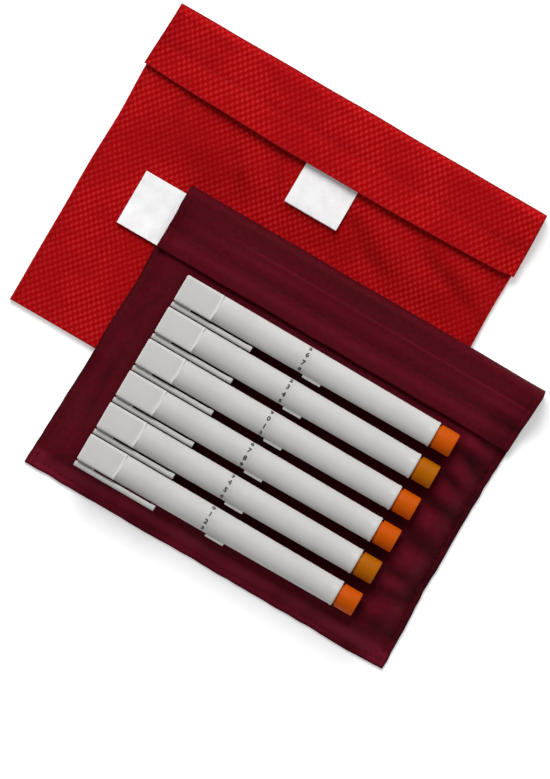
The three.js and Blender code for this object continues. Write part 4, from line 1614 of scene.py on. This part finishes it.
CAP_RADIUS = 7.4
CAP_EDGE_RADIUS = 7.25
BLOCK_END = 20.4  # where the cap's squared end starts to turn round
BLOCK_HALF = 5.8
BLOCK_POWER = 10.0
BLOCK_SOFT = 0.7  # the rounding of its end face
RAMP = 1.7  # how long it takes to turn round
TIP_ROOM = 23.5  # where the bore opens out round the cartridge
CAP_WALL = 3.0
CAP_BORE = 6.5
TIP_BORE = 4.8
CLIP_LENGTH = 47.0
CLIP_INNER = 8.75
CLIP_OUTER = 11.0
CLIP_HALF = 3.0
WEB = (0.8, 10.4)
WEB_TOP = 2.0
RIB = 9.4  # where the web's taller end starts
PAD = 3.3
NUMBER_PLACE = 2.2  # from the cap's open edge back to the middle of the numbers
NUMBERS = 10
INK_PROUD = 0.02 * MM
INK_DEEP = 0.05 * MM  # how far the ink reaches into the plastic
FIGURE_SHARE = 0.7  # how much of its type's size a figure is high
DIAL_STEP = 108  # how far the next pen's numbers are turned from one pen's, in degrees
DIAL_START = 16


def cap_shell(name):
    steps = bpy.context.scene.case_pens.round_steps
    end = span("cap")[1]
    rings = []

    def ring(x, width, thick, power):
        rings.append(squircle(x * MM, width * MM, thick * MM, steps, power))

    for x, inset in rounded(0, 0, BLOCK_SOFT, -1, 4):
        ring(x, CAP_RADIUS + inset, BLOCK_HALF + inset, BLOCK_POWER)
    for x in np.linspace(2, BLOCK_END - 0.4, 9):
        ring(x, CAP_RADIUS, BLOCK_HALF, BLOCK_POWER)
    for k in range(9):
        share = k / 8
        eased = float(ease(share))
        power = BLOCK_POWER + (2 - BLOCK_POWER) * eased
        ring(BLOCK_END + RAMP * share, CAP_RADIUS, BLOCK_HALF + (CAP_RADIUS - BLOCK_HALF) * eased, power)
    for x in np.linspace(BLOCK_END + RAMP + 0.5, end - 1, 24):
        radius = CAP_RADIUS + (CAP_EDGE_RADIUS - CAP_RADIUS) * (x - BLOCK_END) / (end - BLOCK_END)
        ring(x, radius, radius, 2)
    for x, radius in rounded(end, CAP_EDGE_RADIUS, 0.12, 1, 3):
        ring(x, radius, radius, 2)
    for x, radius in (
        (end, CAP_BORE + 0.15), (end - 0.3, CAP_BORE), (TIP_ROOM + 0.5, CAP_BORE), (TIP_ROOM, TIP_BORE),
        (CAP_WALL + 0.3, TIP_BORE), (CAP_WALL, TIP_BORE - 0.3),
    ):
        ring(x, radius, radius, 2)
    obj = loft(name, rings)
    along = np.concatenate(rings)[:, 0] / MM
    # painted highlight along the ramp where the squared end turns round, and a fainter one along the closed
    # end's edge
    keep_raised(obj, np.clip(bell(along - BLOCK_END - RAMP / 2, 0.8) + 0.6 * bell(along, 0.5), 0, 1))
    return obj


def joined(name, pieces):
    """One mesh out of several."""
    whole = bmesh.new()
    for mesh in [piece.data for piece in pieces]:
        whole.from_mesh(mesh)
        bpy.data.meshes.remove(mesh)
    return from_bmesh(name, whole)


def cap_clip(name):
    """The side clip: a long bar with a small pad at its end, and the low web with a taller rib
    that joins it to the cap."""
    half = [
        (-CLIP_INNER + 0.5, 0.5), (-CLIP_INNER + 0.3, CLIP_HALF - 0.9),
        (-CLIP_INNER, CLIP_HALF - 0.3), (-CLIP_INNER - 0.35, CLIP_HALF),
        (-CLIP_OUTER + 1.25, CLIP_HALF), (-CLIP_OUTER + 0.75, CLIP_HALF - 0.2),
        (-CLIP_OUTER + 0.3, CLIP_HALF - 0.65), (-CLIP_OUTER + 0.05, CLIP_HALF - 1.2),
        (-CLIP_OUTER, CLIP_HALF - 1.7),
    ]
    section = np.array([*half, *((y, -z) for y, z in reversed(half))])
    centre = section.mean(0)
    rings = []
    for x, share in ((0, 0.8), (0.12, 0.93), (0.35, 1), *((x, 1) for x in range(4, 45, 8)),
                     (CLIP_LENGTH - 0.35, 1), (CLIP_LENGTH - 0.12, 0.93), (CLIP_LENGTH, 0.8)):
        ring = centre + (section - centre) * share
        rings.append(np.column_stack([np.full(len(ring), float(x)), ring]) * MM)
    pad = [
        (CLIP_LENGTH - PAD, -CLIP_INNER - 0.4), (CLIP_LENGTH, -CLIP_INNER - 0.4),
        (CLIP_LENGTH, -CLIP_INNER + 0.65), (CLIP_LENGTH - PAD + 0.6, -CLIP_INNER + 0.65),
    ]
    arm = -TIP_BORE - 1
    web = [(WEB[0], -CLIP_INNER - 0.5), (RIB, -CLIP_INNER - 0.5), (RIB, arm), (WEB[0], arm)]
    rib = [(RIB, -CLIP_INNER - 0.5), (WEB[1], -CLIP_INNER - 0.5), (WEB[1], arm), (RIB, arm)]
    return joined(name, [
        loft("bar", rings),
        bevelled_outline("pad", pad, -CLIP_HALF + 0.5, CLIP_HALF - 0.5, 0.2),
        bevelled_outline("web", web, -CLIP_HALF + 0.4, WEB_TOP, 0.15),
        bevelled_outline("rib", rib, -CLIP_HALF + 0.3, CLIP_HALF - 0.3, 0.2),
    ])


def cap_numbers(name):
    """Plain numbers from 0 to 9, printed round the cap near its open edge."""
    settings = bpy.context.scene.case_pens
    middle = span("cap")[1] - NUMBER_PLACE
    radius = CAP_EDGE_RADIUS * MM + INK_PROUD
    whole = bmesh.new()
    for number in range(NUMBERS):
        text = bpy.data.curves.new("number", "FONT")
        text.body = str(number)
        text.align_x = text.align_y = "CENTER"
        text.extrude = 0.01
        text.offset = 0.07 * settings.number_height
        text.size = settings.number_height / FIGURE_SHARE
        text.resolution_u = 3
        holder = bpy.data.objects.new("number", text)
        bpy.context.scene.collection.objects.link(holder)
        bpy.context.view_layer.update()
        flat = bmesh.new()
        flat.from_mesh(holder.to_mesh())
        for k in range(-5, 6):
            cut = k / 10 * settings.number_height * 1.2
            bmesh.ops.bisect_plane(
                flat, geom=flat.verts[:] + flat.edges[:] + flat.faces[:],
                plane_co=(0, cut, 0), plane_no=(0, 1, 0), dist=1e-7,
            )
        turn = 2 * math.pi * number / NUMBERS
        for vertex in flat.verts:
            angle = turn - vertex.co.y / radius
            out = radius + (INK_PROUD if vertex.co.z > 0 else -INK_DEEP)
            vertex.co = (middle * MM + vertex.co.x, -out * math.sin(angle), out * math.cos(angle))
        copy = bpy.data.meshes.new("number")
        flat.to_mesh(copy)
        flat.free()
        whole.from_mesh(copy)
        bpy.data.meshes.remove(copy)
        bpy.data.objects.remove(holder)
        bpy.data.curves.remove(text)
    bmesh.ops.remove_doubles(whole, verts=whole.verts, dist=1e-6)
    return from_bmesh(name, whole, smooth=False)


class CASE_OT_pen_caps(Operator):
    """Make the pens' caps with their side clips and their printed numbers"""

    bl_idname = "cooling_case.pen_caps"
    bl_label = "Pen caps"

    def execute(self, context):
        copies(cap_shell, "cap_shell", "pen_{}_cap", plain_plastic, "pen_{}_cap")
        copies(cap_clip, "clip", "pen_{}_cap", plain_plastic)
        copies(cap_numbers, "numbers", "pen_{}_cap", lambda n: ("pen_plastic", printed_ink()))
        for number in PENS:
            turn = Matrix.Rotation(math.radians(DIAL_STEP * number + DIAL_START), 4, "X")
            bpy.data.objects[f"pen_{number}_numbers"].data.transform(turn)
        return {"FINISHED"}


BARREL_RADIUS = 7.25
JOINT_GAP = 0.28  # how far the barrel reaches towards the cap
BARREL_END_RADIUS = 6.8
SOCKET = 14.4
SOCKET_BORE = 6.4
BULKHEAD = 4.0
BULKHEAD_BORE = 2.4
BARREL_BORE = 5.5
COLLAR = 1.6  # from the barrel's end back to the raised collar
COLLAR_PROUD = 0.22
BUMP = (0.5, 11.0)
BUMP_PROUD = 1.4
BUMP_HALF = 2.0


def barrel_shell(name):
    start, end = span("barrel")
    collar = end - COLLAR
    slope = (BARREL_END_RADIUS - BARREL_RADIUS) / (end - start)
    outside = rounded(start - JOINT_GAP, BARREL_RADIUS, 0.12, -1, 3)
    outside += [(x, BARREL_RADIUS + slope * (x - start)) for x in np.linspace(start + 1, collar, 20)]
    proud = BARREL_END_RADIUS + COLLAR_PROUD
    outside += [(collar + 0.35, proud), (collar + 0.7, proud)]
    outside += rounded(end, BARREL_END_RADIUS + 0.1, 0.45, 1, 4)
    inside = [
        (end, BARREL_BORE + 0.2), (end - 0.3, BARREL_BORE), (start + SOCKET + BULKHEAD, BARREL_BORE),
        (start + SOCKET + BULKHEAD, BULKHEAD_BORE), (start + SOCKET, BULKHEAD_BORE),
        (start + SOCKET, SOCKET_BORE), (start - JOINT_GAP, SOCKET_BORE),
    ]
    return turned(name, outside + inside, closed=True)


def barrel_bump(name):
    start = span("barrel")[0]
    low, high = start + BUMP[0], start + BUMP[1]
    outer, inner = -BARREL_RADIUS - BUMP_PROUD, -SOCKET_BORE - 0.3
    outline = [(low, outer), (high, outer), (high, inner), (low, inner)]
    return bevelled_outline(name, outline, -BUMP_HALF, BUMP_HALF, 0.3)


class CASE_OT_pen_barrels(Operator):
    """Make the pens' barrels with their side bumps"""

    bl_idname = "cooling_case.pen_barrels"
    bl_label = "Pen barrels"

    def execute(self, context):
        copies(barrel_shell, "barrel_shell", "pen_{}_barrel", plain_plastic, "pen_{}_barrel")
        copies(barrel_bump, "bump", "pen_{}_barrel", plain_plastic)
        return {"FINISHED"}


BUTTON_SHOWN = 11.2
BUTTON_RADIUS = 6.5
NECK_OF_BUTTON = 5.5  # the narrower ring next to the barrel
BUTTON_WALL = 3.0
BUTTON_BORE = 2.6
STEM_RADIUS = 5.2
THUMB_DISH = 0.5
THUMB_RADIUS = 5.2
AXIS = 0.05  # as near as a profile comes to the pen's axis
AMBER_PENS = (2, 5)


def button_shell(name):
    stem, end = span("button")
    start = end - BUTTON_SHOWN
    outside = [(stem, STEM_RADIUS - 0.3), (stem + 0.3, STEM_RADIUS), (start, STEM_RADIUS)]
    outside += [(start, NECK_OF_BUTTON), (start + 0.8, NECK_OF_BUTTON)]
    outside += rounded(start + 0.8, BUTTON_RADIUS, 0.25, -1, 3)
    outside += [(start + 3, BUTTON_RADIUS + 0.03), (start + 7, BUTTON_RADIUS + 0.03)]
    outside += rounded(end, BUTTON_RADIUS, 0.8, 1, 6)
    dish = [(r, THUMB_DISH * (1 - (r / THUMB_RADIUS) ** 2)) for r in (THUMB_RADIUS, 4, 2.6, 1.2, AXIS)]
    outside += [(end - depth, r) for r, depth in dish]
    inside = [(end - BUTTON_WALL, AXIS), (end - BUTTON_WALL, BUTTON_BORE), (stem, BUTTON_BORE)]
    return turned(name, outside + inside, closed=True)


class CASE_OT_pen_buttons(Operator):
    """Make the pens' push buttons, orange on four pens and amber on two"""

    bl_idname = "cooling_case.pen_buttons"
    bl_label = "Pen buttons"

    def execute(self, context):
        copies(button_shell, "push_button", "pen_{}_button", self.finish, "pen_{}_button")
        return {"FINISHED"}

    def finish(self, number):
        colour_name = "amber" if number in AMBER_PENS else "orange"
        return f"{colour_name}_plastic", moulded(colour_name, 0.45, 0.06, 0.0)


HOLDER_TIP = 4.3
HOLDER_RADIUS = 6.0
HOLDER_BORE = 5.4
HOLDER_RING = 9.5  # from its end back to a raised ring
RING_PROUD = 0.2
TIP_THREADS = 5
GLASS_RADIUS = 5.1
GLASS_BORE = 4.4
NECK_RADIUS = 2.9
NECK_ROOM = 0.3  # between the neck and the holder's tip
NECK_BORE = 2.2
NECK = 7.8
SHOULDER = 3.5
GLASS_TIP = 1.6  # where the glass starts under its metal cap
GLASS_WALL = 2.8  # where the closed end of the glass ends
CRIMP = 2.6  # how long the metal cap is
CRIMP_HOLE = 1.4
ROD_RADIUS = 2.0
ROD_PITCH = 2.4
ROD_STEPS = 32
THREAD_CUT = 0.16  # how much of its radius the thread is deep
FOOT_RADIUS = 3.9
FOOT_LENGTH = 2.0
STOPPER_RIBS = 3
STOPPER_RADIUS = 3.8
STOPPER_RIB = 4.15


def holder_shell(name):
    start, end = span("holder")
    tip_end = TIP_ROOM + 0.3
    threads = []
    for k in range(TIP_THREADS):
        x = start + 0.8 + k * (tip_end - start - 1.6) / TIP_THREADS
        threads += [(x, HOLDER_TIP - 0.35), (x + 0.5, HOLDER_TIP), (x + 0.9, HOLDER_TIP)]
    outside = [(start, HOLDER_TIP - 0.4), *threads, (tip_end, HOLDER_TIP)]
    ring, proud = end - HOLDER_RING, HOLDER_RADIUS + RING_PROUD
    outside += [(tip_end + 1.7, HOLDER_RADIUS), (ring, HOLDER_RADIUS), (ring + 0.3, proud)]
    outside += [(ring + 0.9, proud), (ring + 1.1, HOLDER_RADIUS), (end, HOLDER_RADIUS)]
    inside = [(end, HOLDER_BORE), (tip_end + 3.4, HOLDER_BORE), (tip_end, NECK_RADIUS + NECK_ROOM),
              (start, NECK_RADIUS + NECK_ROOM)]
    return turned(name, outside + inside, closed=True)


def cartridge_shell(name):
    start, end = span("cartridge")
    neck = start + NECK
    shoulder = neck + SHOULDER
    tip, wall = start + GLASS_TIP, start + GLASS_WALL
    outside = [(tip, NECK_RADIUS), (neck, NECK_RADIUS), (neck + 1, NECK_RADIUS + 0.5)]
    outside += [(shoulder - 0.8, GLASS_RADIUS - 0.3), (shoulder, GLASS_RADIUS), (end, GLASS_RADIUS)]
    inside = [(end, GLASS_BORE), (shoulder + 0.7, GLASS_BORE), (neck + 0.7, NECK_BORE),
              (wall, NECK_BORE), (wall, 2 * AXIS), (tip, 2 * AXIS)]
    return turned(name, outside + inside, closed=True)


def cartridge_crimp(name):
    start = span("cartridge")[0]
    end, wall = start + CRIMP, start + GLASS_TIP - 0.1
    outside = rounded(start, NECK_RADIUS + 0.08, 0.3, -1, 3) + [(end, NECK_RADIUS + 0.08)]
    inside = [(end, NECK_RADIUS - 0.02), (wall, NECK_RADIUS - 0.02), (wall, CRIMP_HOLE), (start, CRIMP_HOLE)]
    return turned(name, outside + inside, closed=True)


def stopper_shell(name):
    start, end = span("stopper")
    profile = [(start, 2.6), (start + 0.4, STOPPER_RADIUS)]
    pitch = (end - start - 0.8) / STOPPER_RIBS
    for k in range(STOPPER_RIBS):
        x = start + 0.4 + k * pitch
        profile += [(x + 0.1, STOPPER_RIB), (x + pitch * 0.55, STOPPER_RIB)]
        profile += [(x + pitch * 0.65, STOPPER_RADIUS), (x + pitch * 0.95, STOPPER_RADIUS)]
    profile.append((end, STOPPER_RADIUS - 0.2))
    return turned(name, profile)


def threaded_rod(name):
    """The piston rod: a round foot, then a shank with a screw thread."""
    start, end = span("rod")
    shank = start + FOOT_LENGTH

    def ring(x, radius):
        return squircle(x * MM, radius * MM, radius * MM, ROD_STEPS)

    rings = [
        ring(start, FOOT_RADIUS - 0.3), ring(start + 0.3, FOOT_RADIUS), ring(shank - 0.3, FOOT_RADIUS),
        ring(shank, FOOT_RADIUS - 0.3), ring(shank + 0.1, ROD_RADIUS - 0.3),
    ]
    for x in np.arange(shank + 0.5, end - 0.4, ROD_PITCH / 6):
        threaded = ring(x, ROD_RADIUS)
        turns = x / ROD_PITCH - np.arange(ROD_STEPS) / ROD_STEPS
        height = 0.5 + 0.5 * np.clip(1.8 * np.cos(2 * np.pi * turns), -1, 1)
        threaded[:, 1:] *= (1 - THREAD_CUT * (1 - height))[:, None]
        rings.append(threaded)
    rings.append(ring(end, ROD_RADIUS - 0.4))
    return loft(name, rings)


class CASE_OT_pen_insides(Operator):
    """Make each pen's cartridge holder, glass cartridge, stopper and piston rod"""

    bl_idname = "cooling_case.pen_insides"
    bl_label = "Pen insides"

    def execute(self, context):
        clear, glass = ("clear_plastic", clear_plastic()), ("cartridge_glass", cartridge_glass())
        metal, rubber = ("clear_plastic", bare_aluminium()), ("stopper_rubber", dark_rubber())
        white = ("rod_plastic", moulded("body", 0.5))
        copies(holder_shell, "holder_shell", "pen_{}", lambda n: clear, "pen_{}_holder")
        copies(cartridge_shell, "glass", "pen_{}", lambda n: glass, "pen_{}_cartridge")
        copies(cartridge_crimp, "crimp", "pen_{}", lambda n: metal)
        copies(stopper_shell, "plunger", "pen_{}_rod", lambda n: rubber, "pen_{}_stopper")
        copies(threaded_rod, "screw", "pen_{}_rod", lambda n: white, "pen_{}_rod")
        return {"FINISHED"}


# Stage

FRAME_SIZE = (550, 779)  # the picture's width and height in pixels
PIXEL = 0.51 * MM  # on the pouches
AIM = Vector((10.6 * MM, -25.2 * MM, 10 * MM))  # what the middle of the picture shows
TURN = 30.2  # how far the pouches are turned in the picture, in degrees
LENS = 800.0
SENSOR = 36.0
FLOOR_HALF = 4  # in metres
FLOOR_GAP = 0.05 * MM
FLOOR_GLOW = 0.32  # brings the floor to white
LAMP_SIZE = 1.6
LAMPS = {"key": (-0.92, 1.46, 1.94), "side": (0.2, 2.48, 0.73), "fill": (1.19, -1.98, 1.19)}


class CASE_OT_stage(Operator):
    """Make the pale floor, the soft lamps, the sky and the camera"""

    bl_idname = "cooling_case.stage"
    bl_label = "Floor, lamps and camera"

    def execute(self, context):
        settings = context.scene.case_stage
        square = ((-1, -1), (1, -1), (1, 1), (-1, 1))
        corners = [(x * FLOOR_HALF, y * FLOOR_HALF, -FLOOR_GAP) for x, y in square]
        floor = add_object("floor", corners, [(0, 1, 2, 3)])
        paint(floor, self.floor_material())
        for name, place in LAMPS.items():
            self.lamp(f"{name}_lamp", Vector(place), getattr(settings, name))
        self.sky(context, settings.sky)
        self.camera(context)
        context.scene.view_settings.view_transform = "Standard"
        return {"FINISHED"}

    def floor_material(self):
        """Pale and matt, and white to the eye wherever the object throws no shadow."""
        material, s, surface = new_material("Pale floor", 0.9, Specular_IOR_Level=0.2)
        speckle = s.noise(s.place(), 900.0, 3.0)
        feed(s, surface, Base_Color=s.mix(speckle, (0.86, 0.86, 0.86, 1), (0.9, 0.9, 0.9, 1)))
        paths = s.add("LightPath").outputs
        seen = s.math("MAXIMUM", s.math("MAXIMUM", paths["Is Camera Ray"], paths["Is Glossy Ray"]),
                      paths["Is Transmission Ray"])
        surface.inputs["Emission Color"].default_value = (1, 1, 1, 1)
        s.put(s.math("MULTIPLY", seen, FLOOR_GLOW), surface.inputs["Emission Strength"])
        return material

    def lamp(self, name, place, power):
        light = bpy.data.lights.new(name, "AREA")
        light.shape = "DISK"
        light.size = LAMP_SIZE
        light.energy = power
        obj = bpy.data.objects.new(name, light)
        obj.location = place
        obj.rotation_euler = (AIM - place).to_track_quat("-Z", "Y").to_euler()
        bpy.context.scene.collection.objects.link(obj)

    def sky(self, context, strength):
        world = bpy.data.worlds.new("Soft sky")
        context.scene.world = world
        world.use_nodes = True
        s = Shader(world.node_tree)
        background = world.node_tree.nodes["Background"]
        background.inputs["Color"].default_value = (1, 1, 1, 1)
        seen = s.add("LightPath").outputs["Is Camera Ray"]
        level = s.math("ADD", s.math("MULTIPLY", seen, 1 - strength), strength)
        s.put(level, background.inputs["Strength"])

    def camera(self, context):
        data = bpy.data.cameras.new("camera")
        data.lens = LENS
        data.sensor_width = SENSOR
        data.clip_start = 0.05
        data.clip_end = 30
        camera = bpy.data.objects.new("camera", data)
        away = max(FRAME_SIZE) * PIXEL * LENS / SENSOR
        camera.location = AIM + away * UP
        camera.rotation_euler = (0, 0, math.radians(TURN))
        context.scene.collection.objects.link(camera)
        context.scene.camera = camera


class CASE_PT_cooling_case(Panel):
    """Lists the pieces of the case"""

    bl_label = "Cooling case"
    bl_idname = "CASE_PT_cooling_case"
    bl_space_type = "VIEW_3D"
    bl_region_type = "UI"
    bl_category = "Cooling case"

    def draw(self, context):
        layout = self.layout
        for title, group in (("Cloth", "case_cloth"), ("Pens", "case_pens"), ("Stage", "case_stage")):
            box = layout.box()
            box.label(text=title)
            settings = getattr(context.scene, group)
            for key in settings.__annotations__:
                box.prop(settings, key)
        for piece in PIECES:
            layout.operator(piece.bl_idname)


PIECES = (
    CASE_OT_stage,
    CASE_OT_outer_body,
    CASE_OT_outer_flap,
    CASE_OT_closing_strips,
    CASE_OT_labels,
    CASE_OT_inner_body,
    CASE_OT_cooling_pads,
    CASE_OT_inner_flap,
    CASE_OT_pen_caps,
    CASE_OT_pen_barrels,
    CASE_OT_pen_buttons,
    CASE_OT_pen_insides,
)
GROUPS = {"case_cloth": ClothSettings, "case_pens": PenSettings, "case_stage": StageSettings}


def register():
    for group in (*GROUPS.values(), *PIECES, CASE_PT_cooling_case):
        bpy.utils.register_class(group)
    for name, group in GROUPS.items():
        setattr(bpy.types.Scene, name, PointerProperty(type=group))


def unregister():
    for name in GROUPS:
        delattr(bpy.types.Scene, name)
    for group in reversed((*GROUPS.values(), *PIECES, CASE_PT_cooling_case)):
        bpy.utils.unregister_class(group)


def main():
    register()
    for piece in PIECES:
        family, name = piece.bl_idname.split(".")
        getattr(getattr(bpy.ops, family), name)()


if __name__ == "__main__":
    main()
